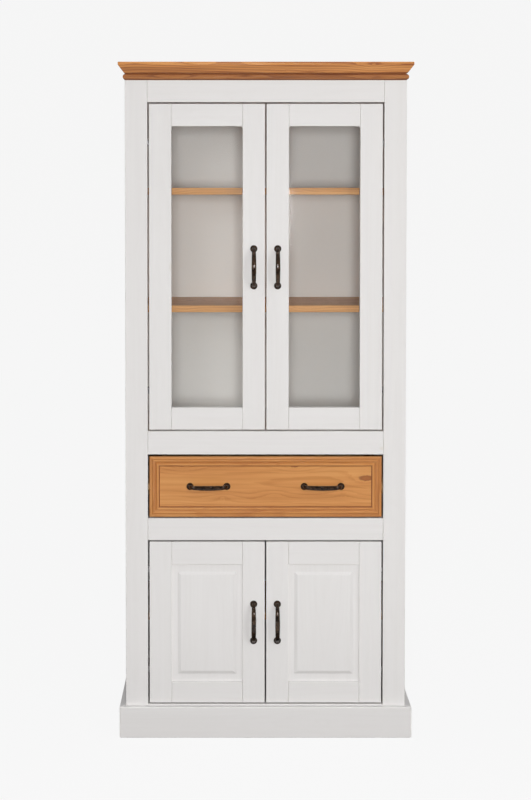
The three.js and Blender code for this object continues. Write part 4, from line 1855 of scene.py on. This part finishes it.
@dataclass
class Studio:
    """The pale floor and backdrop, the soft lights and the camera."""

    floor: float = 7.5
    bend: float = 1.2
    wall: float = 8.0
    bend_steps: int = 12
    floor_sides: int = 64
    backdrop_tone: float = 0.90
    floor_shade: float = 0.05
    room_low: Colour = (0.15, 0.142, 0.13, 1.0)
    room_high: Colour = (0.46, 0.465, 0.475, 1.0)
    sensor: float = 36.0
    lens: float = 67.67
    pitch: float = 1.83
    shift_x: float = 0.0445
    shift_y: float = -0.195
    eye: Sequence[float] = (-0.093, -4.085, 1.4146)

    def build(self) -> None:
        """Sets up the whole studio."""
        bpy.context.scene.view_settings.view_transform = "Standard"
        self.sweep()
        self.sky()
        for lamp in LAMPS:
            self.lamp(lamp)
        self.camera()

    def sweep(self) -> None:
        """Builds the round floor, which curves up into a wall all the way round."""
        sides = self.floor_sides
        line = [(0.1, 0.0), (self.floor, 0.0)]
        for k in range(1, self.bend_steps + 1):
            turn = math.pi / 2 * k / self.bend_steps
            line.append((self.floor + self.bend * math.sin(turn), self.bend * (1 - math.cos(turn))))
        line.append((self.floor + self.bend, self.wall))
        spots = []
        for radius, z in line:
            for k in range(sides):
                turn = math.tau * k / sides
                spots.append((radius * math.cos(turn), radius * math.sin(turn), z))
        faces = [tuple(range(sides))]
        for i in range(len(line) - 1):
            for k in range(sides):
                first, last = i * sides + k, i * sides + (k + 1) % sides
                faces.append((first, first + sides, last + sides, last))
        data = bpy.data.meshes.new("studio_sweep")
        data.from_pydata(spots, [], faces)
        data.shade_smooth()
        data.materials.append(self.paper())
        sweep = bpy.data.objects.new("studio_sweep", data)
        bpy.context.scene.collection.objects.link(sweep)
        sweep.visible_diffuse = False
        sweep.visible_glossy = False

    def paper(self) -> bpy.types.Material:
        """Returns the backdrop's paper, lit evenly from behind so that it stays pale with a soft shadow."""
        graph = Graph("studio_paper")
        own = self.backdrop_tone
        graph.shader.inputs["Base Color"].default_value = (self.floor_shade,) * 3 + (1.0,)
        graph.shader.inputs["Roughness"].default_value = 1.0
        graph.shader.inputs["Specular IOR Level"].default_value = 0.0
        graph.shader.inputs["Emission Color"].default_value = (own, own, own, 1.0)
        graph.shader.inputs["Emission Strength"].default_value = 1.0
        return graph.material

    def sky(self) -> None:
        """Sets the even light that fills the room."""
        world = bpy.data.worlds.new("studio_room")
        world.use_nodes = True
        nodes, links = world.node_tree.nodes, world.node_tree.links
        height = nodes.new("ShaderNodeSeparateXYZ")
        links.new(nodes.new("ShaderNodeTexCoord").outputs["Generated"], height.inputs[0])
        spread = nodes.new("ShaderNodeMapRange")
        links.new(height.outputs["Z"], spread.inputs["Value"])
        spread.inputs["From Min"].default_value = -1.0
        shade = nodes.new("ShaderNodeValToRGB")
        links.new(spread.outputs[0], shade.inputs["Fac"])
        low, high = shade.color_ramp.elements
        low.position, high.position = 0.30, 0.85
        low.color, high.color = self.room_low, self.room_high
        links.new(shade.outputs["Color"], nodes["Background"].inputs["Color"])
        bpy.context.scene.world = world

    def lamp(self, lamp: Lamp) -> None:
        """Hangs a soft lamp.

        Args:
            lamp: the lamp's place, size and power.
        """
        data = bpy.data.lights.new(lamp.name, "AREA")
        data.shape = "RECTANGLE"
        data.size, data.size_y = lamp.size
        data.energy = lamp.power
        hung = bpy.data.objects.new(lamp.name, data)
        bpy.context.scene.collection.objects.link(hung)
        hung.location = lamp.place
        aim = Vector(lamp.target) - Vector(lamp.place)
        hung.rotation_euler = aim.to_track_quat("-Z", "Y").to_euler()
        hung.visible_glossy = lamp.mirrored
        hung.visible_diffuse = lamp.lit

    def camera(self) -> None:
        """Stands the camera in front, a little left of the middle and at shoulder height."""
        data = bpy.data.cameras.new("studio_camera")
        data.sensor_width = self.sensor
        data.sensor_fit = "AUTO"
        data.lens = self.lens
        data.shift_x, data.shift_y = self.shift_x, self.shift_y
        camera = bpy.data.objects.new("studio_camera", data)
        bpy.context.scene.collection.objects.link(camera)
        camera.location = self.eye
        camera.rotation_euler = (math.radians(90 - self.pitch), 0.0, 0.0)
        bpy.context.scene.camera = camera


# ---------------------------------------------------------------- the whole cabinet


def main() -> None:
    """Builds the cabinet's sub-assemblies in order, then the studio round them, and reports each piece."""
    glazed = GlazedDoor(DoorFrame(corner=4.5 * MM))
    grooved = DoorFrame(top=60 * MM, bottom=54 * MM, rebate_front=8.4 * MM, rebate=8.4 * MM)
    panelled = PanelledDoor(grooved)
    stages = {
        "carcass": Carcass().build(),
        "back panel": BackPanel().build(),
        "crown": Crown().build(),
        "shelves": Shelves().build(),
        "runners": Runners().build(),
        "drawer": Drawer().build(),
    }
    for side in Side:
        stages[f"upper {side.word} door"] = glazed.build(side) + DoorHinge().build(Tier.UPPER, side)
        stages[f"lower {side.word} door"] = panelled.build(side) + DoorHinge().build(Tier.LOWER, side)
    for stage, pieces in stages.items():
        for piece in pieces:
            LOG.info("%s: %s", stage, piece.name)
    Studio().build()


if __name__ == "__main__":
    logging.basicConfig(level=logging.INFO, format="%(name)s %(message)s")
    main()
